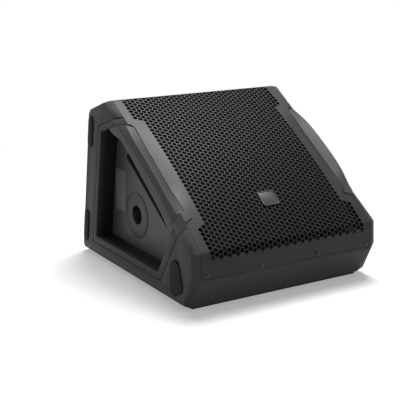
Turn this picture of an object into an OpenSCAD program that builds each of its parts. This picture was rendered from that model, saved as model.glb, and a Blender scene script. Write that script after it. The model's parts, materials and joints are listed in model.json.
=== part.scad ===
// Powered stage monitor wedge: textured cabinet with bevelled side cheeks, a bulged perforated
// grille, a handle tray in each side, a pole socket, a coaxial driver and a built-in amplifier.
// Millimetres. The floor is at 0, the grille faces -Y and up, the pole socket is on the -X side.

/* [Cabinet outline, seen from the side] */
// half width between the outer flats of the two side cheeks
half_width = 203; // [195:0.5:215]
// thickness of each side cheek, which is also the width of its bevel
cheek_thickness = 15; // [12:0.5:18]
// half depth from front to back at the widest place, screw heads included
half_depth = 225.7; // [218:0.1:240]
// height of the cabinet's underside above the floor
foot_height = 4; // [3:0.5:6]
// height of the sheet grille's lower edge
band_bottom = 66.4; // [62:0.2:70]
// height where the grille folds from its upright band
fold_height = 111; // [106:0.5:116]
// distance of the top corner behind the centre plane
apex_y = 104.9; // [100:0.5:110]
// height of the top corner
apex_z = 331.4; // [326:0.2:336]
// how far the long front face bulges out of its straight chord
front_bulge = 11; // [8:0.5:14]
// radius of the fold above the upright band
fold_radius = 13; // [8:1:16]
// radius of the fold over the top
apex_radius = 12; // [8:1:16]
// downward slope of the top strip in degrees
top_slope = 19.9; // [17:0.1:22]
// lean of the back panel in degrees
back_lean = 9.2; // [7:0.1:11]
// distance from the front plane to the foot of the undercut
undercut_depth = 37; // [30:1:42]
// radius of the nose below the grille
nose_radius = 12; // [8:1:16]
// width of the square edge between the cheek's flat and its bevel
edge_land = 0.5; // [0.3:0.1:1]
// how far the cheek's flat lies inside the outline at its bevelled edges
bevel_inset = 6; // [4:0.5:8]

/* [Panels] */
// thickness of the wooden panels
panel_thickness = 15; // [12:0.5:18]
// thickness of the baffle board
baffle_thickness = 18; // [15:0.5:21]
// depth of the baffle's front face under the chord of the front
baffle_depth = 26; // [24:0.5:30]
// clearance between the back of each tray and the baffle board
baffle_gap = 3; // [2:0.5:6]
// width of the two battens glued behind the baffle
batten_width = 22; // [18:1:26]
// clearance between the battens' ends and the reflex ports
batten_end_gap = 12; // [6:1:40]

/* [Grille] */
// thickness of the grille's sheet steel
sheet_thickness = 1.5; // [1:0.1:2]
// clearance around the edges of the grille
grille_gap = 0.6; // [0.4:0.1:1]
// length of the flange that lies on the top strip
top_flange = 12; // [8:1:16]
// thickness of the foam behind the grille
foam_thickness = 5; // [3:0.5:6]
// radius of the heads of the grille's screws
grille_screw_radius = 3.2; // [2.5:0.1:4]
// height of the heads of the grille's screws
grille_screw_head = 1.4; // [1:0.1:2]
// height of the row of screws in the band
grille_screw_height = 72.5; // [70:0.5:76]
// distance of the band's outer screws from the cheeks
grille_screw_inset = 12; // [9:0.5:20]
// half distance between the inner screws of the band
grille_screw_inner = 62; // [50:1:80]
// width of the blank badge
badge_width = 36; // [28:1:44]
// length of the blank badge along the slope
badge_length = 33; // [28:1:44]
// distance of the badge's centre from the top corner along the slope
badge_from_apex = 303.5; // [290:0.5:310]
// thickness of the blank badge
badge_thickness = 2; // [1.5:0.1:3]
// width of the badge's raised rim
badge_rim_width = 2.4; // [1.6:0.2:3]

/* [Side trays] */
// depth of the tray from the cheek's flat to its plate
tray_depth = 36; // [30:0.5:38]
// thickness of the tray's moulded walls
tray_wall = 3; // [2:0.2:4]
// width of the tray's bezel on the cheek
bezel_width = 12.5; // [10:0.5:15]
// thickness of the bezel
bezel_thickness = 5; // [4:0.5:7]
// depth of the finger pocket behind the handle
pocket_depth = 15; // [10:0.5:17]
// clearance between the mouldings and the cheek
seam_gap = 0.4; // [0.3:0.05:0.6]
// how far the tray's lower lug reaches over the grille from the cheek's flat
lug_reach = 34; // [30:0.5:38]
// distance of the lug's foot up the slope from the fold
lug_start = 57.6; // [57:0.1:60]
// width of the lug along the slope
lug_width = 27; // [24:0.5:29]
// how far the lug runs up the slope for each millimetre inwards
lug_slant = 0.6; // [0.4:0.05:0.7]
// width of the blank plate on the left tray
label_width = 42; // [34:1:50]
// height of the blank plate on the left tray
label_height = 84; // [70:1:96]
// height of the blank plate's centre above the floor
label_z = 149; // [140:1:156]

/* [Tray outline] */
// distance from the back panel to the tray's opening
tray_back_margin = 58; // [54:0.5:62]
// distance from the top strip to the tray's opening
tray_top_margin = 53; // [50:0.5:57]
// height of the tray's floor above the cabinet's underside
tray_floor = 43.3; // [40:0.5:48]
// distance of the front foot of the tray's opening in front of the centre plane
tray_front_foot = 96; // [88:0.5:100]
// lean of the tray's front wall from upright in degrees
tray_front_lean = 32; // [29:0.5:35]
// width of the tray's front strip, which ends in the lug
front_strip = 17.5; // [17.5:0.1:18]

/* [Handles] */
// distance of the handle's upper end from the cheek's top corner
handle_start = 46; // [40:1:52]
// distance of the handle's lower end from the cheek's top corner
handle_end = 323; // [318:1:328]
// width of the handle's grip on the cheek's flat
handle_grip = 13; // [10:0.5:18]
// width of the handle's two ends on the cheek's flat
handle_pad = 28; // [24:1:32]
// thickness of the handle inwards from the cheek's flat
handle_thickness = 24.7; // [22:0.1:27]
// height of the handle's ridge over the chord of the front
ridge_height = 14.3; // [11.5:0.1:16]
// distance of the ridge inside the cheek's flat
ridge_inset = 4.5; // [3:0.5:7]
// fall of the ridge 100 mm from its highest place
ridge_fall = 2.8; // [2:0.1:3.4]
// radius of the handle's screw heads
handle_screw_radius = 3.4; // [2.6:0.1:4.2]
// length of the handle's screws
handle_screw_length = 30; // [26:1:34]

/* [Pole socket] */
// radius of the bore that takes the pole
socket_bore_radius = 18.25; // [17.5:0.05:19]
// depth of the bore
socket_depth = 72; // [60:1:76]
// wall of the socket's cup
socket_wall = 3; // [2.4:0.2:4]
// radius of the socket's flange
socket_flange_radius = 46.5; // [40:0.5:50]
// thickness of the socket's flange
socket_flange_thickness = 3; // [2:0.2:4]
// width of the chamfer at the mouth
socket_chamfer = 1.6; // [1:0.1:2]
// distance of the socket behind the centre plane
socket_y = 48.5; // [44:0.5:54]
// height of the socket above the floor
socket_z = 113.5; // [108:0.5:120]
// thickness of the ring nut behind the tray
ring_nut_thickness = 8; // [6:0.5:10]

/* [Feet] */
// thickness of the pads on the cheeks
pad_thickness = 2.5; // [1.5:0.5:4]
// half width of the pads on the cheeks
pad_radius = 10; // [8:0.5:11]
// depth of the recess that holds each pad
pad_recess = 2; // [1:0.5:3]
// width of the skids under the base
skid_width = 30; // [24:1:40]
// distance of the skids' ends from the cheeks
skid_inset = 4; // [2:1:12]

/* [Coaxial driver] */
// clearance between the basket's rim and the narrow part of the baffle
basket_margin = 5; // [3:0.5:8]
// width of the basket's rim on the baffle
rim_width = 14; // [12:0.5:16]
// thickness of the basket's rim
rim_thickness = 6; // [5:0.5:8]
// depth from the rim to the magnet's front plate
basket_depth = 72; // [66:1:78]
// width of the surround between the baffle's opening and the cone
surround_width = 20; // [16:0.5:24]
// radius of the cone at the voice coil
cone_neck_radius = 38; // [34:0.5:40]
// thickness of the cone
cone_thickness = 1.6; // [1.2:0.1:2.4]
// radius of the magnet
magnet_radius = 72; // [64:1:76]
// thickness of the magnet
magnet_thickness = 22; // [18:1:26]
// thickness of the plates on each side of the magnet
plate_thickness = 8; // [6:0.5:10]
// radius of the compression driver on the back of the magnet
hf_radius = 42; // [36:1:48]
// depth of the compression driver
hf_depth = 26; // [20:1:28]
// radius of the mouth of the high-frequency horn
horn_radius = 30; // [24:0.5:31]
// radius of the horn's throat
throat_radius = 12; // [9:0.5:13]
// radius of the voice coil's former
coil_radius = 37.5; // [34:0.5:38]
// distance of the driver's screws from the edge of the basket's rim
driver_screw_inset = 6.5; // [6:0.5:8]
// travel of the cone each way
cone_travel = 5; // [3:0.5:6]
// inner radius of each reflex port
port_radius = 26; // [20:0.5:27]
// length of each reflex port
port_length = 70; // [50:1:76]
// wall of each reflex port
port_wall = 2.5; // [2:0.1:3]

/* [Amplifier] */
// distance of the amplifier's centre in front of the cabinet's rear foot
amp_from_back = 147.7; // [140:0.1:154]
// height of the amplifier's centre above the floor
amp_z = 118; // [114:1:122]
// width of the amplifier's plate from front to back
amp_width = 108; // [104:1:112]
// height of the amplifier's plate
amp_height = 124; // [120:1:126]
// thickness of the amplifier's plate
amp_plate_thickness = 2; // [1.5:0.1:2.5]
// depth of the amplifier's chassis behind the plate
amp_depth = 44; // [38:1:48]
// radius of the signal sockets
signal_radius = 12; // [10.5:0.1:12.5]
// radius of the level knobs
knob_radius = 8; // [6:0.5:9]
// height of the level knobs over the plate
knob_height = 13; // [10:0.5:16]
// radial clearance of each knob's shaft in its bush
shaft_clearance = 0.05; // [0.02:0.01:0.1]
// radius of each knob's shaft
shaft_radius = 3; // [2.5:0.1:3.5]
// width of the power switch's rocker
rocker_width = 13; // [10:0.5:15]
// height of the power switch's rocker
rocker_height = 20; // [17:0.5:22]
// tilt of the power switch's rocker at rest in degrees
rocker_tilt = 7; // [5:0.5:8]
// radius of the mode button
button_radius = 3.5; // [2.5:0.1:4]
// clearance around buttons and rockers
control_gap = 0.4; // [0.3:0.05:0.6]

/* [Hidden] */
$fn = 64;
inner_x = half_width - cheek_thickness;
front_y = grille_screw_head - half_depth;
eps = 0.01;
// unit vectors in the side view, as [y, z]
strip_dir = [cos(top_slope), -sin(top_slope)];
strip_out = [sin(top_slope), cos(top_slope)];
back_dir = [-sin(back_lean), cos(back_lean)];
back_out = [cos(back_lean), sin(back_lean)];
// the long front face: a chord with an arc over it
fold_pt = [front_y, fold_height];
apex_pt = [apex_y, apex_z];
chord = norm(apex_pt - fold_pt);
slope_dir = (apex_pt - fold_pt) / chord;
slope_out = [-slope_dir[1], slope_dir[0]];
front_angle = atan2(slope_dir[1], slope_dir[0]);
mid_pt = (apex_pt + fold_pt) / 2;
arc_radius = chord * chord / 8 / front_bulge + front_bulge / 2;
arc_centre = mid_pt - slope_out * (arc_radius - front_bulge);
fold_cy = front_y + fold_radius;
fold_cz = arc_centre[1] + sqrt(pow(arc_radius - fold_radius, 2) - pow(fold_cy - arc_centre[0], 2));
fold_c = [fold_cy, fold_cz];
fold_end = atan2(fold_cz - arc_centre[1], fold_cy - arc_centre[0]);
apex_q = apex_pt - apex_radius * strip_out - arc_centre;
apex_b = apex_q * strip_dir;
apex_k = apex_q * apex_q - pow(arc_radius - apex_radius, 2);
apex_c = apex_q + arc_centre + strip_dir * (-apex_b - sqrt(apex_b * apex_b - apex_k));
apex_start = atan2(apex_c[1] - arc_centre[1], apex_c[0] - arc_centre[0]);
apex_end = 90 - top_slope;
// the nose and the undercut below the grille
nose_c = [front_y + nose_radius, band_bottom - 3];
under_pt = [front_y + undercut_depth, foot_height];
nose_q = nose_c - under_pt;
under_angle = atan2(nose_q[1], nose_q[0]) + asin(nose_radius / norm(nose_q));
under_dir = [cos(under_angle), sin(under_angle)];
under_out = [-under_dir[1], under_dir[0]];

function ray(a) = [cos(a), sin(a)];
function arc(c, r, a0, a1, n) = [for (i = [0:n]) c + r * ray(a0 + (a1 - a0) * i / n)];
function wedge(u, v) = u[0] * v[1] - u[1] * v[0];
// where the line through p along u crosses the line through q along v
function crossing(p, u, q, v) = p + u * (wedge(q - p, v) / wedge(u, v));
// points on the outline's straight sides, each set inwards by d
function back_pt(d) = [half_depth, foot_height] - d * back_out;
function strip_pt(d) = apex_pt - d * strip_out;
function base_pt(d) = [0, foot_height + d];
function under_at(d) = under_pt - d * under_out;
function slope_pt(d) = mid_pt - d * slope_out;
function back_x_strip(d, e) = crossing(back_pt(d), back_dir, strip_pt(e), strip_dir);
function back_x_base(d, e) = crossing(back_pt(d), back_dir, base_pt(e), [1, 0]);
function under_x_base(d, e) = crossing(under_at(d), under_dir, base_pt(e), [1, 0]);
// the folded front from the band's lower edge to the top strip, set inwards by d
function front_arc(d) = arc(arc_centre, arc_radius - d, fold_end, apex_start, 28);
function front_path(d) = concat(
    [[front_y + d, band_bottom]],
    arc(fold_c, fold_radius - d, 180, fold_end + 1, 6),
    front_arc(d),
    arc(apex_c, apex_radius - d, apex_start - 6, apex_end, 6));
function nose_arc(d) = arc(nose_c, nose_radius - d, under_angle + 90, 180, 5);
function outline(d) = concat(nose_arc(d), front_path(d),
    [back_x_strip(d, d), back_x_base(d, d), under_x_base(d, d)]);
// a closed outline grown by d with mitred corners
function edge_out(p, q) = [q[1] - p[1], p[0] - q[0]] / norm(q - p);
function grown(c, d) = [for (i = [0:len(c) - 1])
    let (n = len(c), a = edge_out(c[(i + n - 1) % n], c[i]), b = edge_out(c[i], c[(i + 1) % n]))
    c[i] + d * (a + b) / (1 + a * b)];
function turned(c) = [for (i = [0:len(c) - 1]) c[len(c) - 1 - i]];

// the cheek's flat, whose long edge is straight while the front bulges
flat_apex = apex_pt + bevel_inset * [0.7, -0.7];
flat_fold = [front_y + 1.7 * bevel_inset, fold_height + 0.15 * bevel_inset];
flat_band = [front_y + 1.15 * bevel_inset, band_bottom + 0.55 * bevel_inset];
flat_under = under_pt + bevel_inset * [-0.4, 1.3];
flat_foot = back_x_base(0.15 * bevel_inset, 1.1 * bevel_inset);
flat_rear = back_x_strip(0.15 * bevel_inset, 0.4 * bevel_inset);
corner_cut = 7;
flat_points = [flat_apex, flat_fold, flat_band, flat_under,
    flat_foot - [corner_cut, 0], flat_foot + corner_cut * back_dir,
    flat_rear - corner_cut * back_dir, flat_rear - corner_cut * strip_dir];
edge_dir = (flat_fold - flat_apex) / norm(flat_fold - flat_apex);
edge_in = [-edge_dir[1], edge_dir[0]];
// a point at distance a along the cheek's slanted edge and p inside it
function on_edge(a, p) = flat_apex + a * edge_dir + p * edge_in;

// the tray's opening, from five straight sides
front_dir = [-sin(tray_front_lean), cos(tray_front_lean)];
front_out = [-cos(tray_front_lean), -sin(tray_front_lean)];
front_foot = [-tray_front_foot, foot_height + tray_floor];
function tray_front(d) = front_foot + d * front_out;
function side_line(p) = on_edge(0, p);
function tray_shape(m, n, f, p) = [
    crossing(back_pt(tray_back_margin - m), back_dir, strip_pt(tray_top_margin - m), strip_dir),
    crossing(strip_pt(tray_top_margin - m), strip_dir, side_line(p), edge_dir),
    crossing(side_line(p), edge_dir, tray_front(f), front_dir),
    crossing(tray_front(f), front_dir, base_pt(tray_floor - n), [1, 0]),
    crossing(back_pt(tray_back_margin - m), back_dir, base_pt(tray_floor - n), [1, 0])];
cavity = tray_shape(0, 0, 0, 3);
bezel = tray_shape(bezel_width, bezel_width + 1.5, front_strip, -45);
plate_x = half_width - tray_depth;
handle_x = half_width - handle_thickness;
baffle_half_width = plate_x - tray_wall - baffle_gap;
basket_radius = baffle_half_width - basket_margin;
baffle_hole_radius = basket_radius - rim_width;
cone_radius = baffle_hole_radius - surround_width;
driver_screw_circle = basket_radius - driver_screw_inset;
upper_pad = 67;
lower_pad = 297;
screw_seats = [on_edge(83, 7), on_edge(285, 5)];
// the handle, between the lines that carry on the tray's upper and front walls
function handle_shape(d) = [
    crossing(strip_pt(tray_top_margin + seam_gap - d), strip_dir, side_line(-45), edge_dir),
    crossing(side_line(-45), edge_dir, tray_front(d - seam_gap), front_dir),
    crossing(tray_front(d - seam_gap), front_dir, side_line(handle_pad * 0.7 + d), edge_dir),
    on_edge(lower_pad, handle_pad * 0.7 + d),
    on_edge(lower_pad - 36, handle_grip + d),
    on_edge(upper_pad + 57, handle_grip + d),
    on_edge(upper_pad, handle_pad + d),
    crossing(side_line(handle_pad + d), edge_dir, strip_pt(tray_top_margin + seam_gap - d), strip_dir)];
// a point at distance t up the chord from the fold and l above it
function on_chord(t, l) = fold_pt + t * slope_dir + l * slope_out;
ridge_top = 190;
ridge_line = concat([for (i = [0:13]) let (t = 75 + 20 * i)
    on_chord(t, ridge_height - ridge_fall * pow((t - ridge_top) / 100, 2))],
    [on_chord(335, -100), on_chord(75, -100)]);
// the lug seen along the front's normal, as [x, distance up the chord from the fold]
lug_x = half_width - lug_reach;
function lug_edge(x, w) = [-x, lug_start + w + lug_slant * (half_width - x)];
lug_plan = [lug_edge(half_width + 2, 0), lug_edge(lug_x, 0), lug_edge(lug_x + 13, lug_width - 0.8),
    lug_edge(half_width + 2, lug_width)];
// the finger pocket behind each handle, as deep from the cheek's edge as p
function finger_pocket(p) = [on_edge(76, 45), on_edge(288, 45), on_edge(288, p), on_edge(76, p)];
seat_y = front_y + panel_thickness + 2;
batten_y = chord / 2 - 34;
port_x = baffle_half_width - port_radius - port_wall - 4;
batten_half_length = port_x - port_radius - port_wall - batten_end_gap;
grille_screw_outer = inner_x - grille_screw_inset;
port_y = -chord / 2 + port_radius + port_wall + 20;
pad_lines = [[[-165, 79], [-155, 31]],
    [back_x_base(13, 236), back_x_base(13, 278)],
    [back_x_base(13, 34), back_x_base(13, 80)]];
amp_y = half_depth - amp_from_back;
amp_face = plate_x + amp_plate_thickness;
rim_z = -baffle_depth;
gasket_thickness = 1.5;

// a side-view shape carried across from x0 to x1
module slab(x0, x1) {
    translate([x0, 0, 0])
        rotate([90, 0, 90])
            linear_extrude(x1 - x0)
                children();
}

module shape(x0, x1, points) {
    slab(x0, x1)
        polygon(points);
}

// a round bar along X at the side-view point p
module bar(x0, x1, p, r, r2 = 0) {
    translate([x0, p[0], p[1]])
        rotate([0, 90, 0])
            cylinder(h = x1 - x0, r1 = r, r2 = r2 == 0 ? r : r2);
}

module both_sides() {
    children();
    mirror([1, 0, 0])
        children();
}

// origin at the middle of the front's chord, +Y up the slope, +Z out of the front
module front_frame() {
    translate([0, mid_pt[0], mid_pt[1]])
        rotate([front_angle, 0, 0])
            children();
}

// the solid outer form at the left side, with its bevel
module side_block(reach) {
    hull() {
        shape(-half_width, -half_width + edge_land, flat_points);
        shape(-inner_x - edge_land, -inner_x + reach, outline(0));
    }
}

// a long pad's outline with round ends
function capsule(p, q, r) =
    let (n = edge_out(p, q), a = atan2(n[1], n[0]))
    concat(arc(q, r, a, a + 180, 14), arc(p, r, a + 180, a + 360, 14));

module pad_form(r, x0, x1) {
    for (p = pad_lines)
        shape(x0, x1, capsule(p[0], p[1], r));
}

module left_cheek_form() {
    difference() {
        side_block(0);
        shape(-half_width - 5, -inner_x + 5, grown(bezel, seam_gap));
        pad_form(pad_radius + 0.8, -half_width - 1, -half_width + pad_recess);
    }
}

module left_side_cheek() {
    color("#232326")
        left_cheek_form();
}

module right_side_cheek() {
    color("#232326")
        mirror([1, 0, 0])
            left_cheek_form();
}

module back_panel() {
    t = panel_thickness;
    color("#262629")
        shape(-inner_x, inner_x,
            [back_x_base(0, t), back_x_strip(0, t), back_x_strip(t, t), back_x_base(t, t)]);
}

module top_panel() {
    t = panel_thickness;
    under = apex_c + (apex_radius - sheet_thickness) * strip_out;
    color("#262629")
        shape(-inner_x, inner_x,
            [under, under + strip_dir * (top_flange + grille_gap),
            under + strip_dir * (top_flange + grille_gap) + strip_out * sheet_thickness,
            back_x_strip(0, 0), back_x_strip(0, t), apex_c - (t - apex_radius) * strip_out]);
}

module base_panel() {
    t = panel_thickness;
    color("#262629")
        shape(-inner_x, inner_x,
            [under_x_base(0, 0), back_x_base(0, 0), back_x_base(0, t), under_x_base(0, t)]);
}

module nose_rail() {
    t = panel_thickness;
    face = front_y + sheet_thickness;
    shelf = fold_height - 12;
    color("#2b2b2e")
        difference() {
            shape(-inner_x, inner_x, concat([under_x_base(0, t)], nose_arc(0),
                [[front_y, band_bottom - grille_gap], [face, band_bottom - grille_gap],
                [face, shelf], [seat_y, shelf],
                crossing([seat_y, 0], [0, 1], under_at(t), under_dir), under_x_base(t, t)]));
            for (x = [-grille_screw_outer, -grille_screw_inner, grille_screw_inner, grille_screw_outer])
                translate([x, front_y - 1, grille_screw_height])
                    rotate([-90, 0, 0])
                        cylinder(h = 14, r = 1.85);
        }
}

module baffle_board() {
    t = panel_thickness;
    d1 = baffle_depth;
    d2 = baffle_depth + baffle_thickness;
    color("#4a3a2a")
        difference() {
            shape(-inner_x, inner_x,
                [crossing(slope_pt(d1), slope_dir, [seat_y, 0], [0, 1]),
                crossing(slope_pt(d1), slope_dir, strip_pt(t), strip_dir),
                crossing(slope_pt(d2), slope_dir, strip_pt(t), strip_dir),
                crossing(slope_pt(d2), slope_dir, [seat_y, 0], [0, 1])]);
            both_sides()
                shape(-inner_x - 1, -baffle_half_width, grown(cavity, tray_wall + 1));
            front_frame() {
                translate([0, 0, -d2 - 1])
                    cylinder(h = baffle_thickness + 2, r = baffle_hole_radius, $fn = 128);
                for (x = [-port_x, port_x])
                    translate([x, port_y, -d2 - 1])
                        cylinder(h = baffle_thickness + 2, r = port_radius + port_wall + 0.05);
                for (i = [0:7])
                    rotate([0, 0, 22.5 + 45 * i])
                        translate([driver_screw_circle, 0, -d2 - 1])
                            cylinder(h = baffle_thickness + 2, r = 2.55);
            }
        }
}

module baffle_battens() {
    d2 = baffle_depth + baffle_thickness;
    color("#6b5236")
        front_frame()
            for (y = [-batten_y - batten_width / 2, batten_y - batten_width / 2])
                translate([-batten_half_length, y, -d2 - batten_width])
                    cube([2 * batten_half_length, batten_width, batten_width]);
}

module base_skids() {
    y0 = front_y + undercut_depth + 1;
    y1 = half_depth - 10 - skid_width;
    color("#111113")
        for (y = [y0, y1])
            translate([-inner_x + skid_inset, y, 0])
                cube([2 * (inner_x - skid_inset), skid_width, foot_height]);
}

module left_side_pads() {
    color("#1b1b1d")
        pad_form(pad_radius, -half_width - pad_thickness, -half_width + pad_recess);
}

module right_side_pads() {
    color("#1b1b1d")
        mirror([1, 0, 0])
            pad_form(pad_radius, -half_width - pad_thickness, -half_width + pad_recess);
}

module grille_sheet() {
    t = sheet_thickness;
    flange = top_flange;
    color("#3a3a40")
        difference() {
            shape(-inner_x + grille_gap, inner_x - grille_gap, concat(
                front_path(0), [apex_c + apex_radius * strip_out + flange * strip_dir,
                apex_c + (apex_radius - t) * strip_out + flange * strip_dir], turned(front_path(t))));
            both_sides() {
                shape(-inner_x - 1, -handle_x + grille_gap, grown(handle_shape(0), grille_gap));
                lug_column(grille_gap);
                shape(-inner_x - 1, -inner_x + grille_gap + eps, grown(bezel, seam_gap));
            }
            for (x = [-grille_screw_outer, -grille_screw_inner, grille_screw_inner, grille_screw_outer])
                translate([x, front_y - 1, grille_screw_height])
                    rotate([-90, 0, 0])
                        cylinder(h = 5, r = 2);
        }
}

module grille_foam() {
    t = sheet_thickness;
    w = baffle_half_width - 3;
    color("#1c1c1e")
        shape(-w, w, concat(front_arc(t), turned(front_arc(t + foam_thickness))));
}

module grille_screws() {
    color("#2c2c30")
        for (x = [-grille_screw_outer, -grille_screw_inner, grille_screw_inner, grille_screw_outer])
            translate([x, front_y, grille_screw_height])
                rotate([-90, 0, 0]) {
                    difference() {
                        translate([0, 0, -grille_screw_head])
                            cylinder(h = grille_screw_head, r = grille_screw_radius);
                        translate([0, 0, -0.6 - grille_screw_head])
                            cylinder(h = 1.4, r = 1.3, $fn = 6);
                    }
                    cylinder(h = 12, r = 1.8);
                }
}

module rounded_plate(w, l, r, h) {
    linear_extrude(h)
        union() {
            square([w - 2 * r, l], center = true);
            square([w, l - 2 * r], center = true);
            for (x = [-1, 1], y = [-1, 1])
                translate([x * (w / 2 - r), y * (l / 2 - r)])
                    circle(r = r);
        }
}

// the badge's place on the bulged front
module badge_frame() {
    y = chord / 2 - badge_from_apex;
    z = front_bulge - arc_radius + sqrt(arc_radius * arc_radius - y * y);
    front_frame()
        translate([0, y, z + 0.12])
            rotate([-asin(y / arc_radius), 0, 0])
                children();
}

module badge_plate() {
    color("#1a1a1c")
        badge_frame()
            rounded_plate(badge_width - 2 * badge_rim_width, badge_length - 2 * badge_rim_width, 3,
                badge_thickness - 0.7);
}

module badge_rim() {
    color("#303035")
        badge_frame()
            difference() {
                rounded_plate(badge_width, badge_length, 5, badge_thickness);
                translate([0, 0, -1])
                    rounded_plate(badge_width - 2 * badge_rim_width, badge_length - 2 * badge_rim_width, 3,
                        badge_thickness + 2);
            }
}

// the space of the lug, grown by d
module lug_column(d) {
    front_frame()
        translate([0, -chord / 2, -10 - d])
            linear_extrude(26 + d)
                polygon(grown(lug_plan, d));
}

// the tray's walls, with its bezel on the cheek and its lug over the grille
module tray_form() {
    difference() {
        union() {
            shape(-half_width + bezel_thickness, -plate_x, grown(cavity, tray_wall));
            // the bezel on the cheek's flat and its two ends over the bevel
            intersection() {
                side_block(4);
                shape(-half_width - 1, -half_width + bezel_thickness, bezel);
            }
            intersection() {
                side_block(4);
                shape(-half_width, -inner_x, bezel);
                slab(-half_width, -inner_x)
                    polygon([side_line(3), on_edge(460, 3), on_edge(460, -60), on_edge(-60, -60), on_edge(-60, 3)]);
            }
        }
        shape(-half_width - 2, -plate_x + 1, cavity);
        shape(-half_width - 2, -handle_x + seam_gap, grown(handle_shape(0), seam_gap));
        // room for the bosses that stand on the plate
        for (s = screw_seats)
            bar(-handle_x, -plate_x + 1, s, 7.5 + seam_gap);
    }
    // the lug that crosses the bevel and clips over the grille's edge
    intersection() {
        lug_column(0);
        union() {
            side_block(4);
            difference() {
                shape(-inner_x - 2, -lug_x + 1, outline(0));
                shape(-inner_x - 3, -lug_x + 2, outline(bezel_thickness));
            }
        }
    }
}

module left_tray() {
    color("#2e2e31")
        tray_form();
}

module right_tray() {
    color("#2e2e31")
        mirror([1, 0, 0])
            tray_form();
}

// the plate that closes the tray, with the finger pocket and the handle's bosses
module plate_form(amp) {
    w = tray_wall;
    pocket = finger_pocket(amp ? 71 : 77);
    difference() {
        shape(-plate_x, -plate_x + w, grown(cavity, w));
        shape(-plate_x - 1, -plate_x + 2 * w, pocket);
        if (amp)
            translate([-plate_x - 1, amp_y - amp_width / 2 + 4, amp_z - amp_height / 2 + 4])
                cube([w + 2, amp_width - 8, amp_height - 8]);
        else
            bar(-plate_x - 1, -plate_x + w + 1, [socket_y, socket_z], socket_bore_radius + socket_wall + 0.1);
        if (amp)
            for (s = amp_screw_seats)
                bar(-plate_x - 1, -plate_x + w + 1, s, 1.65);
        for (s = screw_seats)
            bar(-half_width, -plate_x + w + 1, s, 2.05);
    }
    // the finger pocket behind the handle
    difference() {
        shape(-plate_x, -plate_x + pocket_depth + 2.5, grown(pocket, 2.5));
        shape(-plate_x - 1, -plate_x + pocket_depth, pocket);
    }
    // the bosses that carry the handle
    for (s = screw_seats)
        difference() {
            bar(-handle_x + seam_gap, -plate_x + w, s, 7.5);
            bar(-handle_x, -plate_x + w + 1, s, 2.05);
        }
}

module left_tray_plate() {
    color("#333336")
        plate_form(false);
}

module right_tray_plate() {
    color("#333336")
        mirror([1, 0, 0])
            plate_form(true);
}

// the handle stands over the cheek as a long ridge and falls to the grille's level
module handle_form() {
    difference() {
        intersection() {
            hull() {
                shape(-half_width, -half_width + edge_land,
                    [on_edge(20, -5), on_edge(360, -5), on_edge(360, 120), on_edge(20, 120)]);
                shape(-half_width + ridge_inset, -half_width + ridge_inset + edge_land, ridge_line);
                shape(-inner_x, -handle_x, outline(0));
            }
            shape(-half_width, -handle_x, handle_shape(0));
        }
        lug_column(seam_gap);
        for (s = screw_seats) {
            bar(-half_width - 1, -handle_x + 1, s, 2.05);
            bar(-half_width - 1, -half_width + 3, s, handle_screw_radius + 0.3);
        }
    }
}

module left_handle() {
    color("#2a2a2d")
        handle_form();
}

module right_handle() {
    color("#2a2a2d")
        mirror([1, 0, 0])
            handle_form();
}

module handle_screws() {
    color("#17171a")
        both_sides()
            for (s = screw_seats)
                difference() {
                    union() {
                        bar(-half_width + 0.8, -half_width + 3, s, handle_screw_radius);
                        bar(-half_width + 3, -half_width + 3 + handle_screw_length, s, 2);
                    }
                    translate([-half_width, s[0], s[1]])
                        rotate([0, 90, 0])
                            cylinder(h = 2.2, r = 1.6, $fn = 6);
                }
}

module pole_socket() {
    c = [socket_y, socket_z];
    face = plate_x + socket_flange_thickness;
    color("#29292c")
        difference() {
            union() {
                bar(-face, -plate_x, c, socket_flange_radius);
                bar(-plate_x, -face + socket_depth + 3, c, socket_bore_radius + socket_wall);
            }
            bar(-face - 1, -face + socket_depth, c, socket_bore_radius);
            bar(-face - eps, -face + socket_chamfer, c,
                socket_bore_radius + socket_chamfer, socket_bore_radius);
        }
}

module socket_ring_nut() {
    c = [socket_y, socket_z];
    back = -plate_x + tray_wall;
    r = socket_bore_radius + socket_wall;
    color("#5d5f63")
        difference() {
            bar(back, back + ring_nut_thickness, c, r + 13);
            bar(back - 1, back + ring_nut_thickness + 1, c, r + 0.1);
            for (i = [0:5])
                translate([back - 1, socket_y, socket_z])
                    rotate([60 * i, 0, 0])
                        translate([0, r + 11, -4])
                            cube([ring_nut_thickness + 2, 6, 8]);
        }
}

module blank_label_plate() {
    y = crossing(back_pt(tray_back_margin + 8), back_dir, base_pt(144), [1, 0])[0] - label_width / 2;
    color("#3c3c40")
        difference() {
            translate([-plate_x - 0.6, y - label_width / 2, label_z - label_height / 2])
                cube([0.6, label_width, label_height]);
            bar(-plate_x - 2, -plate_x + 1, [socket_y, socket_z], socket_flange_radius + 2 * seam_gap);
        }
}

module reflex_ports() {
    color("#19191b")
        front_frame()
            for (x = [-port_x, port_x])
                translate([x, port_y, 0])
                    difference() {
                        union() {
                            translate([0, 0, rim_z - port_length])
                                cylinder(h = port_length, r = port_radius + port_wall);
                            translate([0, 0, rim_z])
                                cylinder(h = 3, r = port_radius + port_wall + 3.5);
                        }
                        translate([0, 0, rim_z - port_length - 1])
                            cylinder(h = port_length + 5, r = port_radius);
                        translate([0, 0, rim_z + 0.01])
                            cylinder(h = 3, r1 = port_radius, r2 = port_radius + 3);
                    }
}

// a turned piece on the driver's axis, with heights from the baffle's front face
module turned_piece(points) {
    front_frame()
        translate([0, 0, rim_z])
            rotate_extrude($fn = 128)
                polygon(points);
}

module screw_ring(r, z0, z1) {
    front_frame()
        for (i = [0:7])
            rotate([0, 0, 22.5 + 45 * i])
                translate([driver_screw_circle, 0, rim_z + z0])
                    cylinder(h = z1 - z0, r = r);
}

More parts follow.
